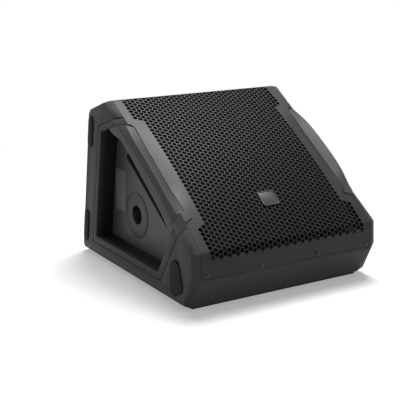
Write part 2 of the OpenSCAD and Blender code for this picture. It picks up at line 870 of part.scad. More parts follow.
module driver_gasket() {
    color("#101012")
        difference() {
            turned_piece([[baffle_hole_radius, 0], [basket_radius, 0],
                [basket_radius, gasket_thickness], [baffle_hole_radius, gasket_thickness]]);
            screw_ring(2.6, -1, gasket_thickness + 1);
        }
}

plate_z = -basket_depth - 4;
shelf_z = -basket_depth + 8;

module basket() {
    g = gasket_thickness;
    top = g + rim_thickness;
    wall_r = baffle_hole_radius - 1.5;
    foot_r = magnet_radius + 12;
    color("#2f3134")
        difference() {
            turned_piece([[wall_r - 3, g], [wall_r, -2], [foot_r, shelf_z - 4], [foot_r, plate_z],
                [50, plate_z], [50, plate_z + 4], [foot_r - 8, plate_z + 4], [foot_r - 8, shelf_z],
                [foot_r - 3, shelf_z], [wall_r - 5, top - 2], [wall_r, top],
                [basket_radius, top], [basket_radius, g]]);
            screw_ring(2.6, -1, top + 1);
            front_frame()
                for (i = [0:5])
                    rotate([0, 0, 30 + 60 * i])
                        translate([foot_r + 6, -26, rim_z + shelf_z + 8])
                            cube([wall_r - foot_r + 4, 52, basket_depth - 34]);
        }
}

module surround() {
    g = gasket_thickness + rim_thickness;
    w = (baffle_hole_radius - 1.5 - cone_radius) / 2;
    mid = cone_radius + w;
    color("#161618")
        turned_piece(concat(
            [for (i = [0:12]) [mid + w * cos(180 - 15 * i), g + 1.2 + 7 * sin(15 * i)]],
            [[driver_screw_circle - 5, g + 1.2], [driver_screw_circle - 5, g], [mid + w, g]],
            [for (i = [0:12]) [mid + (w - 1.2) * cos(15 * i), g + 7 * sin(15 * i) * 0.9]],
            [[cone_radius - 6, g], [cone_radius - 6, g + 1.2]]));
}

module cone() {
    g = gasket_thickness + rim_thickness;
    t = cone_thickness;
    neck = coil_radius + 1;
    color("#1d1d20")
        turned_piece([[neck, shelf_z + 8], [neck + 4, shelf_z + 8 + t],
            [cone_radius - 6, g - t], [cone_radius - 0.5, g - t], [cone_radius - 0.5, g],
            [cone_radius - 7, g], [neck + 3, shelf_z + 8 + 2 * t], [neck, shelf_z + 8 + 2 * t]]);
}

module spider() {
    r0 = coil_radius + 1;
    r1 = magnet_radius + 8;
    color("#8a6f3e")
        turned_piece(concat(
            [for (i = [0:24]) [r0 + (r1 - r0) * i / 24, shelf_z + 1.2 + 1.8 * (1 - cos(75 * i))]],
            [for (i = [0:24]) [r1 - (r1 - r0) * i / 24, shelf_z + 1.8 * (1 - cos(1800 - 75 * i))]]));
}

module voice_coil() {
    r = coil_radius;
    color("#b26b34")
        turned_piece([[r, plate_z - 14], [r, shelf_z + 12], [r + 1, shelf_z + 12], [r + 1, plate_z + 6],
            [r + 1.2, plate_z + 6], [r + 1.2, plate_z - 14]]);
}

module front_plate() {
    color("#7b7e83")
        turned_piece([[coil_radius + 2, plate_z - plate_thickness], [magnet_radius - 6, plate_z - plate_thickness],
            [magnet_radius - 6, plate_z], [coil_radius + 2, plate_z]]);
}

module magnet() {
    z = plate_z - plate_thickness;
    color("#26272a")
        turned_piece([[coil_radius + 8, z - magnet_thickness], [magnet_radius, z - magnet_thickness],
            [magnet_radius, z], [coil_radius + 8, z]]);
}

module pole_piece() {
    z = plate_z - plate_thickness - magnet_thickness;
    color("#7b7e83")
        turned_piece([[throat_radius, z - plate_thickness], [magnet_radius - 6, z - plate_thickness],
            [magnet_radius - 6, z], [coil_radius - 2, z], [coil_radius - 2, plate_z], [throat_radius, plate_z]]);
}

module horn_flare() {
    color("#161618")
        turned_piece(concat(
            [for (i = [0:10]) [throat_radius + (horn_radius - throat_radius) * pow(i / 10, 2),
                plate_z + (basket_depth - 32) * i / 10]],
            [for (i = [0:10]) [throat_radius + 2.4 + (horn_radius - throat_radius) * pow(1 - i / 10, 2),
                plate_z + (basket_depth - 32) * (1 - i / 10)]]));
}

module compression_driver() {
    z = plate_z - 2 * plate_thickness - magnet_thickness;
    r = hf_radius;
    color("#3b3c40")
        turned_piece([[0, z - hf_depth], [r - 6, z - hf_depth], [r, z - hf_depth + 6], [r, z - 12],
            [r + 3, z - 10], [r + 3, z], [throat_radius, z], [throat_radius, z - 6], [0, z - 6]]);
}

module driver_screws() {
    top = gasket_thickness + rim_thickness;
    color("#9a9ca1")
        difference() {
            union() {
                screw_ring(4.5, top, top + 3);
                screw_ring(2.5, top - 24, top);
            }
            front_frame()
                for (i = [0:7])
                    rotate([0, 0, 22.5 + 45 * i])
                        translate([driver_screw_circle, 0, rim_z + top + 1])
                            cylinder(h = 3, r = 2, $fn = 6);
        }
}

// places on the amplifier's plate, as [y, z] from its middle
amp_top = amp_height / 2;
mains_row = 26 - amp_top;
signal_seats = [[-32, amp_top - 30], [0, amp_top - 30]];
knob_seats = [[-32, amp_top - 60], [0, amp_top - 60]];
button_seat = [32, amp_top - 20];
lens_seats = [[28, amp_top - 36], [36, amp_top - 36]];
inlet_seat = [-27, mains_row];
outlet_seat = [9, mains_row];
rocker_seat = [36, mains_row];
latch_seat = [-32, amp_top - 14.1];
amp_screw_seats = [for (y = [-1, 1], z = [-1, 1])
    [amp_y + y * (amp_width / 2 - 4.5), amp_z + z * (amp_height / 2 - 2 - 2.5)]];

function amp_at(p) = [amp_y + p[0], amp_z + p[1]];

module amp_box(p, w, h, x0, x1) {
    translate([x0, amp_y + p[0] - w / 2, amp_z + p[1] - h / 2])
        cube([x1 - x0, w, h]);
}

module amp_plate() {
    x0 = plate_x;
    x1 = amp_face;
    color("#28282b")
        difference() {
            amp_box([0, 0], amp_width, amp_height, x0, x1);
            for (s = signal_seats)
                bar(x0 - 1, x1 + 1, amp_at(s), signal_radius + 0.1);
            for (s = knob_seats)
                bar(x0 - 1, x1 + 1, amp_at(s), 5.6);
            bar(x0 - 1, x1 + 1, amp_at(button_seat), button_radius + control_gap);
            for (s = lens_seats)
                bar(x0 - 1, x1 + 1, amp_at(s), 1.6);
            amp_box(inlet_seat, 28, 20.4, x0 - 1, x1 + 1);
            bar(x0 - 1, x1 + 1, amp_at(outlet_seat), 12.1);
            amp_box(rocker_seat, rocker_width + 4.2, rocker_height + 4.2, x0 - 1, x1 + 1);
            amp_box(latch_seat, 7 + 2 * control_gap, 3.6 + 2 * control_gap, x0 - 1, x1 + 1);
            for (s = amp_screw_seats)
                bar(x0 - 1, x1 + 1, s, 1.65);
        }
}

module amp_chassis() {
    x1 = plate_x - tray_wall - 0.5;
    x0 = plate_x - amp_depth;
    w = amp_width - 14;
    h = amp_height - 17;
    color("#8d9095")
        difference() {
            union() {
                amp_box([0, 0], w, h, x0, x1);
                // two legs reach out to the plate
                amp_box([0, h / 2 - 1.5], w, 3, x0, plate_x);
                amp_box([0, -h / 2 + 1.5], w, 3, x0, plate_x);
            }
            amp_box([0, 0], w - 4, h - 6, x0 + 6, plate_x + 1);
            // fins on the inner face
            for (i = [0:8])
                amp_box([(i - 4) * (w - 12) / 9, 0], 4, h + 2, x0 - 1, x0 + 3.5);
        }
}

module amp_board() {
    x0 = plate_x - amp_depth + 6;
    w = amp_width - 26;
    color("#1f5a34")
        amp_box([0, (amp_top - 26) / 2], w, amp_top - 4, x0, x0 + 1.6);
    color("#202225")
        for (p = [[-24, 8], [-8, 8], [8, 8], [24, 8]])
            amp_box([p[0], p[1] + 4], 11, 12, x0 + 1.6, x0 + 7);
    color("#3a3d42")
        for (y = [-20, 0, 20])
            translate([x0 + 1.6, amp_y + y, amp_z + amp_top - 26])
                rotate([0, 90, 0])
                    cylinder(h = 11, r = 4.5);
}

module power_supply() {
    x0 = plate_x - amp_depth + 6;
    w = amp_width - 26;
    color("#1f5a34")
        amp_box([0, (2 - amp_top) / 2], w, amp_top - 30, x0, x0 + 1.6);
    color("#c9a23a")
        amp_box([-14, -30], 24, 22, x0 + 1.6, x0 + 15);
    color("#26282c")
        for (y = [12, 28])
            translate([x0 + 1.6, amp_y + y, amp_z - 30])
                rotate([0, 90, 0])
                    cylinder(h = 14, r = 6);
}

module signal_form(p, latch) {
    x = amp_face;
    difference() {
        union() {
            bar(x, x + 2, amp_at(p), signal_radius + 1.6);
            bar(x - 20, x, amp_at(p), signal_radius);
        }
        bar(x - 16, x + 3, amp_at(p), signal_radius - 2.4);
    }
    for (a = [90, 210, 330])
        bar(x - 18, x - 4, amp_at(p + 4 * ray(a)), 1.1);
}

module signal_input() {
    color("#1a1a1c")
        signal_form(signal_seats[0]);
}

module signal_link() {
    color("#1a1a1c")
        signal_form(signal_seats[1]);
}

module input_latch() {
    color("#b8babe")
        amp_box(latch_seat, 7, 3.6, amp_face - 8, amp_face + 3);
}

module mains_inlet() {
    x = amp_face;
    color("#121214")
        difference() {
            union() {
                amp_box(inlet_seat, 32, 24, x, x + 2);
                amp_box(inlet_seat, 27.8, 20.2, x - 20, x);
            }
            amp_box(inlet_seat, 24.4, 16.4, x - 16, x + 3);
        }
    color("#b8babe")
        for (p = [[-7, -2], [0, 2], [7, -2]])
            amp_box(inlet_seat + p, 1.6, 5, x - 18, x - 3);
}

module mains_outlet() {
    x = amp_face;
    color("#2b2d33")
        difference() {
            union() {
                bar(x, x + 2.4, amp_at(outlet_seat), 13.4);
                bar(x - 20, x, amp_at(outlet_seat), 12);
            }
            difference() {
                bar(x - 16, x + 3, amp_at(outlet_seat), 9.8);
                bar(x - 17, x - 6, amp_at(outlet_seat), 6.4);
            }
        }
}

module switch_frame() {
    x = amp_face;
    w = rocker_width;
    h = rocker_height;
    color("#131315")
        difference() {
            union() {
                amp_box(rocker_seat, w + 7, h + 7, x, x + 1.5);
                amp_box(rocker_seat, w + 4, h + 4, x - 16, x);
            }
            amp_box(rocker_seat, w + 2 * control_gap, h + 2 * control_gap, x - 14, x + 2);
            // the rocker's pin turns in this bore
            rocker_pin(w / 2 + 1.5, 1.6 + shaft_clearance);
        }
}

// a round bar along Y on the rocker's axis
module rocker_pin(reach, r) {
    translate([amp_face - 4, amp_at(rocker_seat)[0] - reach, amp_at(rocker_seat)[1]])
        rotate([-90, 0, 0])
            cylinder(h = 2 * reach, r = r);
}

module power_rocker() {
    x = amp_face;
    c = amp_at(rocker_seat);
    w = rocker_width;
    h = rocker_height;
    color("#26272a") {
        translate([x - 4, c[0] - w / 2, c[1]])
            rotate([-90, rocker_tilt, 0])
                linear_extrude(w)
                    polygon([[-1, -h / 2 + 1.2], [5.6, -h / 2 + 0.6], [4.2, 0], [5.6, h / 2 - 0.6],
                        [-1, h / 2 - 1.2], [-3, 0]]);
        rocker_pin(w / 2 + 1.2, 1.6);
    }
}

module knob_form(p) {
    x = amp_face;
    c = amp_at(p);
    color("#1b1b1d")
        difference() {
            bar(x + 2, x + 2 + knob_height, c, knob_radius, knob_radius - 1);
            translate([x + 1.2 + knob_height, c[0] - 0.5, c[1] + 2])
                cube([2, 1, knob_radius]);
        }
    color("#b8babe")
        bar(x - 14, x + 2, c, shaft_radius);
}

module level_knob() {
    knob_form(knob_seats[0]);
}

module tone_knob() {
    knob_form(knob_seats[1]);
}

module knob_bushes() {
    x = amp_face;
    color("#a9abb0")
        for (s = knob_seats)
            difference() {
                union() {
                    bar(x - 12, x + 1, amp_at(s), 5.5);
                    bar(x - 18, x - 7, amp_at(s), 9);
                }
                bar(x - 14.5, x + 2, amp_at(s), shaft_radius + shaft_clearance);
            }
}

module mode_button() {
    x = amp_face;
    color("#c9c9cc")
        bar(x - 8, x + 2.6, amp_at(button_seat), button_radius);
}

module status_lenses() {
    x = amp_face;
    color("#58c46a")
        for (s = lens_seats)
            bar(x - 5, x + 0.8, amp_at(s), 1.5);
}

module amp_screws() {
    x = amp_face;
    color("#8f9196")
        for (s = amp_screw_seats)
            difference() {
                union() {
                    bar(x, x + 1.8, s, 2.9);
                    bar(x - 9, x, s, 1.6);
                }
                translate([x + 0.8, s[0], s[1]])
                    rotate([0, 90, 0])
                        cylinder(h = 2, r = 1.3, $fn = 6);
            }
}

module wadding() {
    t = panel_thickness;
    color("#d8d6cf")
        shape(-baffle_half_width + 11, baffle_half_width - 51,
            [back_x_base(t, t + 8), back_x_strip(t, t + 24), back_x_strip(t + 18, t + 30),
            back_x_base(t + 18, t + 8)]);
}

left_side_cheek();
right_side_cheek();
back_panel();
top_panel();
base_panel();
nose_rail();
baffle_board();
baffle_battens();
base_skids();
left_side_pads();
right_side_pads();
grille_sheet();
grille_foam();
grille_screws();
badge_plate();
badge_rim();
left_tray();
right_tray();
left_tray_plate();
right_tray_plate();
left_handle();
right_handle();
handle_screws();
pole_socket();
socket_ring_nut();
blank_label_plate();
reflex_ports();
driver_gasket();
basket();
surround();
cone();
spider();
voice_coil();
front_plate();
magnet();
pole_piece();
horn_flare();
compression_driver();
driver_screws();
amp_plate();
amp_chassis();
amp_board();
power_supply();
signal_input();
signal_link();
input_latch();
mains_inlet();
mains_outlet();
switch_frame();
power_rocker();
level_knob();
tone_knob();
knob_bushes();
mode_button();
status_lenses();
amp_screws();
wadding();
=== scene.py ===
"""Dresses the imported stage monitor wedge: its cabinet, perforated grille, handles, trays and finishes."""

import json
import math

import bpy
import numpy as np
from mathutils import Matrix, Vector, geometry


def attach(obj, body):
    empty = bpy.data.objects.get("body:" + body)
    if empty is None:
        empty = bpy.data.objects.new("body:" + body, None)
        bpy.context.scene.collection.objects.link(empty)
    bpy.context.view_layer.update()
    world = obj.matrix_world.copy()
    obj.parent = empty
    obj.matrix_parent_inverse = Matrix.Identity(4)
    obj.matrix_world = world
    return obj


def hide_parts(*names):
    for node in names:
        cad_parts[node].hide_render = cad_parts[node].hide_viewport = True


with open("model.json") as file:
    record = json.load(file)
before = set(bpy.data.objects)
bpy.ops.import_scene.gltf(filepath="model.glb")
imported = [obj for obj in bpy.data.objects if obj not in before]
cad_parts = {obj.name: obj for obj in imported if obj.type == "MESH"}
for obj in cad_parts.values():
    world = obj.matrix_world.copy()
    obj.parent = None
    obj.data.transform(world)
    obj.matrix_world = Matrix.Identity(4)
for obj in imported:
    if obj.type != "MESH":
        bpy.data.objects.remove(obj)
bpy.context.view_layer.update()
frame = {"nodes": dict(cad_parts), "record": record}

bl_info = {
    "name": "Stage monitor wedge",
    "version": (1, 0, 0),
    "blender": (4, 5, 0),
    "location": "View3D > Sidebar > Wedge",
    "description": "Makes the surfaces, finishes and stage of a powered stage monitor wedge",
    "category": "Object",
}

NODES = frame["nodes"]

# Places in side view are (y, z). On the long front, t is the distance up its chord from the fold, level is
# the height over the chord and s is the arc length on the unrolled sheet. x is the distance from the centre
# plane. The driver's axis and the back panel's foot are places in the CAD part.
FRONT_TILT = math.radians(33.8)
TOP_SLOPE = math.radians(19.9)
DRIVER_AXIS = (0.0, -0.0597, 0.2212)
BACK_FOOT = (0.2257, 0.004)
LINE_GRAIN = 0.0006

# The four straight sides of a tray's opening, from the top round the back: a point, the outward normal and
# the width of the bezel beyond it. The section of wall and bezel, as (outwards, x), is for the plain width.
PLAIN_BEZEL = 0.0121
TRAY_SIDES = (((0.0869, 0.2816), (0.3404, 0.9403), PLAIN_BEZEL),
              ((0.1684, -0.0053), (0.9871, 0.1599), PLAIN_BEZEL),
              ((0.0, 0.0473), (0.0, -1.0), 0.0136), ((-0.0960, 0.0473), (-0.8480, -0.5299), 0.0171))
TRAY_SECTION = ((0.0, 0.1665), (0.0, 0.2010), (0.0006, 0.2024), (0.0018, 0.2030), (0.0112, 0.2030),
                (0.0119, 0.2027), (0.0121, 0.2020), (0.0121, 0.1985), (0.0030, 0.1985), (0.0030, 0.1665))
# Curves at the opening's corners: how far they reach along the sides, at the mouth and per metre outwards.
TURN_START = 0.0012
TURN_SHARE = 0.45
TURN_POINTS = 7
# Gap between the bezel and the cheek, and the levels at which the ring stops under the tray's two ends.
TRAY_GAP = 0.0004
BAND_CUT = -0.0085
LUG_CUT = -0.0095

# The lug: t of its lower edge, the rise of that edge inwards, the gap under it, the x beyond which the edge
# is level, and the corner (x, t) of its upper edge, with the falls of that edge outwards and inwards.
LUG_START = 0.0576
LUG_SLANT = 0.6
LUG_GAP = 0.0013
LUG_FLAT_FROM = 0.1878
LUG_CORNER = (0.182, 0.0964)
LUG_FALLS = (0.565, 1.415)
# How far the tray's ends lie over the cheek and over the sheet, and how deep they go below the sheet.
OVER_CHEEK = 0.0008
OVER_SHEET = 0.0014
END_DEPTH = 0.0030
# The handle: distance of its flat from the centre, t of its upper end there and the slant of that end, t of
# its cut under the tray at level 0, and that cut's lean.
HANDLE_FLAT = 0.203
HANDLE_END = 0.3273
HANDLE_SLANT = 0.42
UNDER_TRAY = 0.3295
CUT_LEAN = 0.7345
# The rounded corner of the upper end: its drop, the x where it starts, and its run inwards.
TOP_CORNER = (0.009, 0.184, 0.0063)
# The stretch of t that carries the shape of the handle's top, the middle and half length of the stretch
# where it stands free, and its arches as (top's t, fall per square of the distance from there).
TOP_STRETCH = (0.085, 0.326)
FREE_MIDDLE = 0.2055
FREE_HALF = 0.1225
RIDGE_ARCH = (0.190, 0.28)
EDGE_ARCH = (0.165, 0.19)
EDGE_TOP = 0.0008
EDGE_FOOT = -0.0045
# Distance of the ridge's two ends from the front's side, and how far the ridge is drawn in towards the top.
CREST_FOOT = 0.0020
CREST_DRAW = 0.0030
CREST_FADE = (0.262, 0.335)
# Levels of the cheek's edge and of the narrow band where the handle's lower end steps from arm to lug.
CHEEK_EDGE = -0.0053
ARM_STEP = (-0.0114, -0.0096)
# Depth of the grip's underside below the chord, up the handle: shallow in the middle, deep at both roots.
GRIP_END = 0.3515
GRIP_T = (0.075, 0.093, 0.100, 0.125, 0.155, 0.220, 0.278, 0.306, 0.317, 0.329, 0.342, 0.352)
GRIP_DEPTH = (0.0300, 0.0295, 0.0270, 0.0228, 0.0210, 0.0198, 0.0188, 0.0200, 0.0218, 0.0295, 0.0350, 0.0352)
# Stretches of t over which the sheet's fall beside the handles fades in and out.
FALL_FADES_IN = (0.080, 0.160)
FALL_FADES_OUT = (0.250, 0.335)

# Columns of holes on each side of the middle one, and rows in each. In each stretch of s beside the handles
# one column less fits on each side, and no hole lies above the last value of s.
HOLE_COLUMNS = 19
HOLE_ROWS = 42
HOLE_STEPS = ((0.0965, 0.3795), (0.1015, 0.3745))
HOLES_END = 0.4415
# Step of the points on the sheet's rim, and the columns of extra points with their distance from the holes.
RIM_STEP = 0.003
GRID_REACH = 0.1865
GRID_STEP = 0.0046625
HOLE_CLEARANCE = 0.0006
# Points along the front in side view: on the band, on each of the two folds and on the long arc.
BAND_POINTS = 24
FOLD_POINTS = 48
LONG_POINTS = 500

# Turned profiles as (radius, height outwards), the pads' steps as (inset, height over the flat), and the
# handle screws' seats as (t, level).
SCREW = ((0.0, -0.0016), (0.0020, -0.0016), (0.0022, 0.0004), (0.0040, 0.0004), (0.0046, -0.0002),
         (0.0040, -0.003), (0.0020, -0.004), (0.0020, -0.033), (0.0, -0.033))
SOCKET = ((0.0, -0.069), (0.01825, -0.069), (0.01825, -0.0012), (0.0190, 0.0004), (0.0202, 0.0010),
          (0.0440, 0.0010), (0.0444, 0.0008), (0.0446, -0.0006), (0.0454, -0.0006), (0.0456, 0.0003),
          (0.0465, 0.0001), (0.0465, -0.0008), (0.02125, -0.0008), (0.02125, -0.072), (0.0, -0.072))
PAD_STEPS = ((0.0010, -0.0018), (0.0, -0.0002), (0.0, 0.0010), (0.0004, 0.0016), (0.0012, 0.0021),
             (0.0026, 0.0024))
SCREW_SEATS = ((0.3144, -0.0122), (0.1124, -0.0103))
# Circles (y, z, radius) that the front pads are drawn round. Each rear pad is drawn round two circles of one
# radius at an inset from the back panel, at the two heights given.
FRONT_PAD = ((-0.1615, 0.0690, 0.018), (-0.1695, 0.0450, 0.018), (-0.1556, 0.0325, 0.0125))
REAR_PAD_INSET = 0.013
REAR_PAD_RADIUS = 0.0102
REAR_PAD_ENDS = ((0.240, 0.282), (0.038, 0.084))

# Half the floor's edge, and the distances from the wedge between which the floor turns plain white.
FLOOR_REACH = 14.0
FLOOR_FADE = (0.45, 1.3)
# Points that the two lights look at.
OVERHEAD_AIM = (0.0, 0.0, 0.15)
SIDE_AIM = (0.0, 0.0, 0.12)

SLOT_OF = {s["node"]: s["material_slot"] for s in frame["record"]["subparts"]}


def metres(label, text, value):
    """A length property with its name, description and default in metres."""
    return bpy.props.FloatProperty(name=label, description=text, default=value, min=0.0, unit="LENGTH",
                                   precision=5)


def paint(label, text, value):
    """A colour property with its name, description and default in linear red, green and blue."""
    return bpy.props.FloatVectorProperty(name=label, description=text, default=value, size=3,
                                         min=0.0, max=1.0, subtype="COLOR")


class WedgeSizes(bpy.types.PropertyGroup):
    """Sizes of the pieces that are made here."""

    half_front: metres("Half front", "Half width of the front between the bevelled cheeks", 0.188)
    band_bottom: metres("Band bottom", "Height of the grille's lower edge", 0.0664)
    fold_height: metres("Fold height", "Height where the grille folds from its upright band", 0.111)
    front_depth: metres("Front depth", "Distance of the band's plane in front of the centre plane", 0.2243)
    apex_back: metres("Apex back", "Distance of the top corner behind the centre plane", 0.1049)
    apex_height: metres("Apex height", "Height of the top corner", 0.3314)
    front_bulge: metres("Bulge", "Rise of the long front over its chord", 0.011)
    fold_radius: metres("Fold radius", "Radius of the fold over the band", 0.013)
    apex_radius: metres("Apex radius", "Radius of the fold over the top", 0.012)
    top_flange: metres("Top flange", "Length of the grille's flange on the top strip", 0.012)
    sheet: metres("Sheet", "Thickness of the grille's sheet", 0.0015)
    column_step: metres("Column step", "Distance between two columns of holes", 0.0087)
    row_step: metres("Row step", "Distance between two holes of a column", 0.00987)
    first_row: metres("First row", "Arc length from the lower edge to the first row of holes", 0.0355)
    hole_across: metres("Hole", "Width of a hole across its flats", 0.0084)
    seam: metres("Seam", "Clearance around the grille's edges", 0.0006)
    handle_edge: metres("Handle edge", "Distance of the handle's seam from the centre", 0.1777)
    lug_edge: metres("Lug edge", "Distance of the lug's tip from the centre", 0.1684)
    half_width: metres("Half width", "Half width between the flats of the cheeks", 0.203)
    ridge_edge: metres("Ridge edge", "Distance of the handle's ridge from the centre", 0.1985)
    ridge_height: metres("Ridge height", "Height of the handle's ridge over the chord of the front", 0.0143)
    inner_level: metres("Inner level", "Height over the chord that the sheet falls to at the handles", 0.0055)
    fall_start: metres("Fall start", "Distance from the centre where the sheet begins to fall", 0.1500)
    plate: metres("Plate", "Distance of the trays' plates from the centre", 0.167)
    socket_back: metres("Socket back", "Distance of the pole socket behind the centre plane", 0.0485)
    socket_height: metres("Socket height", "Height of the pole socket", 0.1135)


class WedgeColours(bpy.types.PropertyGroup):
    """Colours of the finishes."""

    cabinet: paint("Cabinet", "Textured paint of the cabinet", (0.030, 0.030, 0.033))
    speck: paint("Specks", "Lighter specks of the textured paint", (0.060, 0.060, 0.066))
    grille: paint("Grille", "Powder coat of the grille", (0.008, 0.008, 0.0095))
    moulding: paint("Mouldings", "Moulded plastic of trays and handles", (0.023, 0.023, 0.024))
    tray_plate: paint("Tray plate", "Moulded plastic at the back of the trays", (0.040, 0.040, 0.044))
    rubber: paint("Rubber", "Pads and skids", (0.011, 0.011, 0.012))
    foam: paint("Foam", "Foam behind the grille", (0.001, 0.001, 0.001))
    wood: paint("Wood", "Bare birch plywood", (0.42, 0.27, 0.14))
    floor: paint("Floor", "Floor of the stage", (0.86, 0.86, 0.86))


def number(label, text, value, subtype="NONE"):
    """A number property that isn't negative, with its name, description, default and subtype."""
    return bpy.props.FloatProperty(name=label, description=text, default=value, min=0.0, subtype=subtype)


def place(label, text, value):
    """A point property with its name, description and default in metres."""
    return bpy.props.FloatVectorProperty(name=label, description=text, default=value, size=3,
                                         subtype="TRANSLATION")


class StageSettings(bpy.types.PropertyGroup):
    """Camera and light."""

    eye: place("Eye", "Place of the camera", (-0.99567, -1.54352, 0.62378))
    aim: place("Aim", "Point that the camera looks at", (0.0, 0.0884, 0.11107))
    lens: number("Lens", "Focal length on a 36 mm sensor", 86.58, "DISTANCE_CAMERA")
    key: number("Key", "Power of the large light overhead", 45.0, "POWER")
    key_place: place("Key place", "Place of the large light overhead", (0.36, 0.30, 2.1))
    key_size: metres("Key size", "Edge of the large light overhead", 1.1)
    side_share: number("Side", "Power of the side light as a share of the key", 0.14, "FACTOR")
    side_place: place("Side place", "Place of the side light", (-2.6, -0.4, 1.3))
    side_size: metres("Side size", "Edge of the side light", 1.2)
    ambient: number("Ambient", "Strength of the light all round", 0.22)
    bounce: number("Bounce", "Share of light that the floor gives back", 0.45, "FACTOR")
    lift: number("Lift", "Brightness that the floor has of its own", 0.30, "FACTOR")


# ---------------------------------------------------------------- nodes and finishes

class Tree:
    """A short way to write node trees."""

    def __init__(self, tree):
        self.tree = tree
        self.nodes = tree.nodes

    def add(self, kind, settings=None, **inputs):
        """A new node with its settings, and its inputs as values or sockets. i0, i1 and so on name an input
        by its place in the list, and any other name is the input's own."""
        node = self.nodes.new(kind)
        for key, value in (settings or {}).items():
            setattr(node, key, value)
        for key, value in inputs.items():
            name = key.replace("_", " ")
            socket = node.inputs[int(key[1:])] if key[0] == "i" and key[1:].isdigit() else node.inputs[name]
            if isinstance(value, bpy.types.NodeSocket):
                self.tree.links.new(value, socket)
            else:
                socket.default_value = value
        return node

    def link(self, a, b):
        """Joins an output to an input."""
        self.tree.links.new(a, b)


def new_material(name):
    """An empty node material with its output, its shader and the Object coordinates."""
    old = bpy.data.materials.get(name)
    if old:
        bpy.data.materials.remove(old)
    mat = bpy.data.materials.new(name)
    mat.use_nodes = True
    mat.node_tree.nodes.clear()
    t = Tree(mat.node_tree)
    out = t.add("ShaderNodeOutputMaterial")
    shader = t.add("ShaderNodeBsdfPrincipled")
    t.link(shader.outputs["BSDF"], out.inputs["Surface"])
    spot = t.add("ShaderNodeTexCoord").outputs["Object"]
    return mat, t, shader, spot


def ramp(t, fac, low, high):
    """Factor between two values of a texture, as 0 to 1."""
    m = t.add("ShaderNodeMapRange", Value=fac, From_Min=low, From_Max=high)
    m.clamp = True
    return m.outputs["Result"]


def blend_colour(t, fac, a, b):
    """Mix of two colours or sockets by a factor."""
    m = t.add("ShaderNodeMix", {"data_type": "RGBA"})
    for socket, value in ((m.inputs[0], fac), (m.inputs[6], a), (m.inputs[7], b)):
        if isinstance(value, bpy.types.NodeSocket):
            t.link(value, socket)
        elif isinstance(value, (int, float)):
            socket.default_value = value
        else:
            socket.default_value = (*value[:3], 1.0)
    return m.outputs[2]


def speckled(name, base, speck, grain, relief, rough, gloss=0.5, amount=0.35, mottle=0.18):
    """Paint or plastic with a fine grain: specks of a lighter colour where a fine noise is high, slow
    mottling of the base, and a bump from the same fine noise. grain is the size of the grain in metres,
    relief its height, amount the share of specks and mottle the depth of the mottling."""
    mat, t, shader, spot = new_material(name)
    fine = t.add("ShaderNodeTexNoise", Vector=spot, Scale=1.0 / grain, Detail=3.0, Roughness=0.62)
    fine = fine.outputs["Fac"]
    slow = t.add("ShaderNodeTexNoise", Vector=spot, Scale=22.0, Detail=4.0, Roughness=0.6).outputs["Fac"]
    dark = tuple(c * (1.0 - mottle) for c in base)
    pale = tuple(min(1.0, c * (1.0 + mottle)) for c in base)
    ground = blend_colour(t, ramp(t, slow, 0.35, 0.65), dark, pale)
    specks = t.add("ShaderNodeMath", {"operation": "MULTIPLY"}, i0=ramp(t, fine, 0.54, 0.70),
                   i1=amount * 2.0)
    t.link(blend_colour(t, specks.outputs[0], ground, speck), shader.inputs["Base Color"])
    bump = t.add("ShaderNodeBump", Strength=0.8, Distance=relief, Height=fine)
    t.link(bump.outputs["Normal"], shader.inputs["Normal"])
    shader.inputs["Roughness"].default_value = rough
    shader.inputs["Specular IOR Level"].default_value = gloss
    return mat


def bezel_distance(t, spot):
    """Distance from the outline of the trays' bezel in side view, negative inside: the largest of the
    distances from the outer lines of its four sides."""
    worst = None
    for (py, pz), (ny, nz), width in TRAY_SIDES:
        reach = ny * py + nz * pz + width + TRAY_GAP
        d = t.add("ShaderNodeVectorMath", {"operation": "DOT_PRODUCT"}, i0=spot, i1=(0.0, ny, nz))
        d = t.add("ShaderNodeMath", {"operation": "SUBTRACT"}, i0=d.outputs["Value"], i1=reach).outputs[0]
        if worst is not None:
            d = t.add("ShaderNodeMath", {"operation": "MAXIMUM"}, i0=worst, i1=d).outputs[0]
        worst = d
    return worst


def paint_over(mat, share_of, colour):
    """Mixes a colour over a finish by a share that a function works out from the Object coordinates."""
    t = Tree(mat.node_tree)
    shader = next(n for n in t.nodes if n.type == "BSDF_PRINCIPLED")
    spot = next(n for n in t.nodes if n.type == "TEX_COORD").outputs["Object"]
    below = shader.inputs["Base Color"].links[0].from_socket
    t.link(blend_colour(t, share_of(t, spot), below, colour), shader.inputs["Base Color"])
    return mat


def painted_gap_shade(mat, low, high):
    """Paints shade into a finish: a dark line along the gap between the trays and the cheeks, where the
    distance from the bezel's outline lies between low and high."""
    def share_of(t, spot):
        d = bezel_distance(t, spot)
        over = t.add("ShaderNodeMath", {"operation": "GREATER_THAN"}, i0=d, i1=low).outputs[0]
        under = t.add("ShaderNodeMath", {"operation": "LESS_THAN"}, i0=d, i1=high).outputs[0]
        return t.add("ShaderNodeMath", {"operation": "MULTIPLY"}, i0=over, i1=under).outputs[0]

    # Near black stands in for the shade in the gap.
    return paint_over(mat, share_of, (0.002, 0.002, 0.002))


def painted_recess_shade(mat, outer, inner, shade_colour):
    """Paints shade into a finish, darker deeper below the cheek's flat, between two distances from the centre
    plane.
    """
    def share_of(t, spot):
        x = t.add("ShaderNodeSeparateXYZ", Vector=spot).outputs["X"]
        reach = t.add("ShaderNodeMath", {"operation": "ABSOLUTE"}, i0=x).outputs[0]
        return ramp(t, reach, outer, inner)

    return paint_over(mat, share_of, shade_colour)


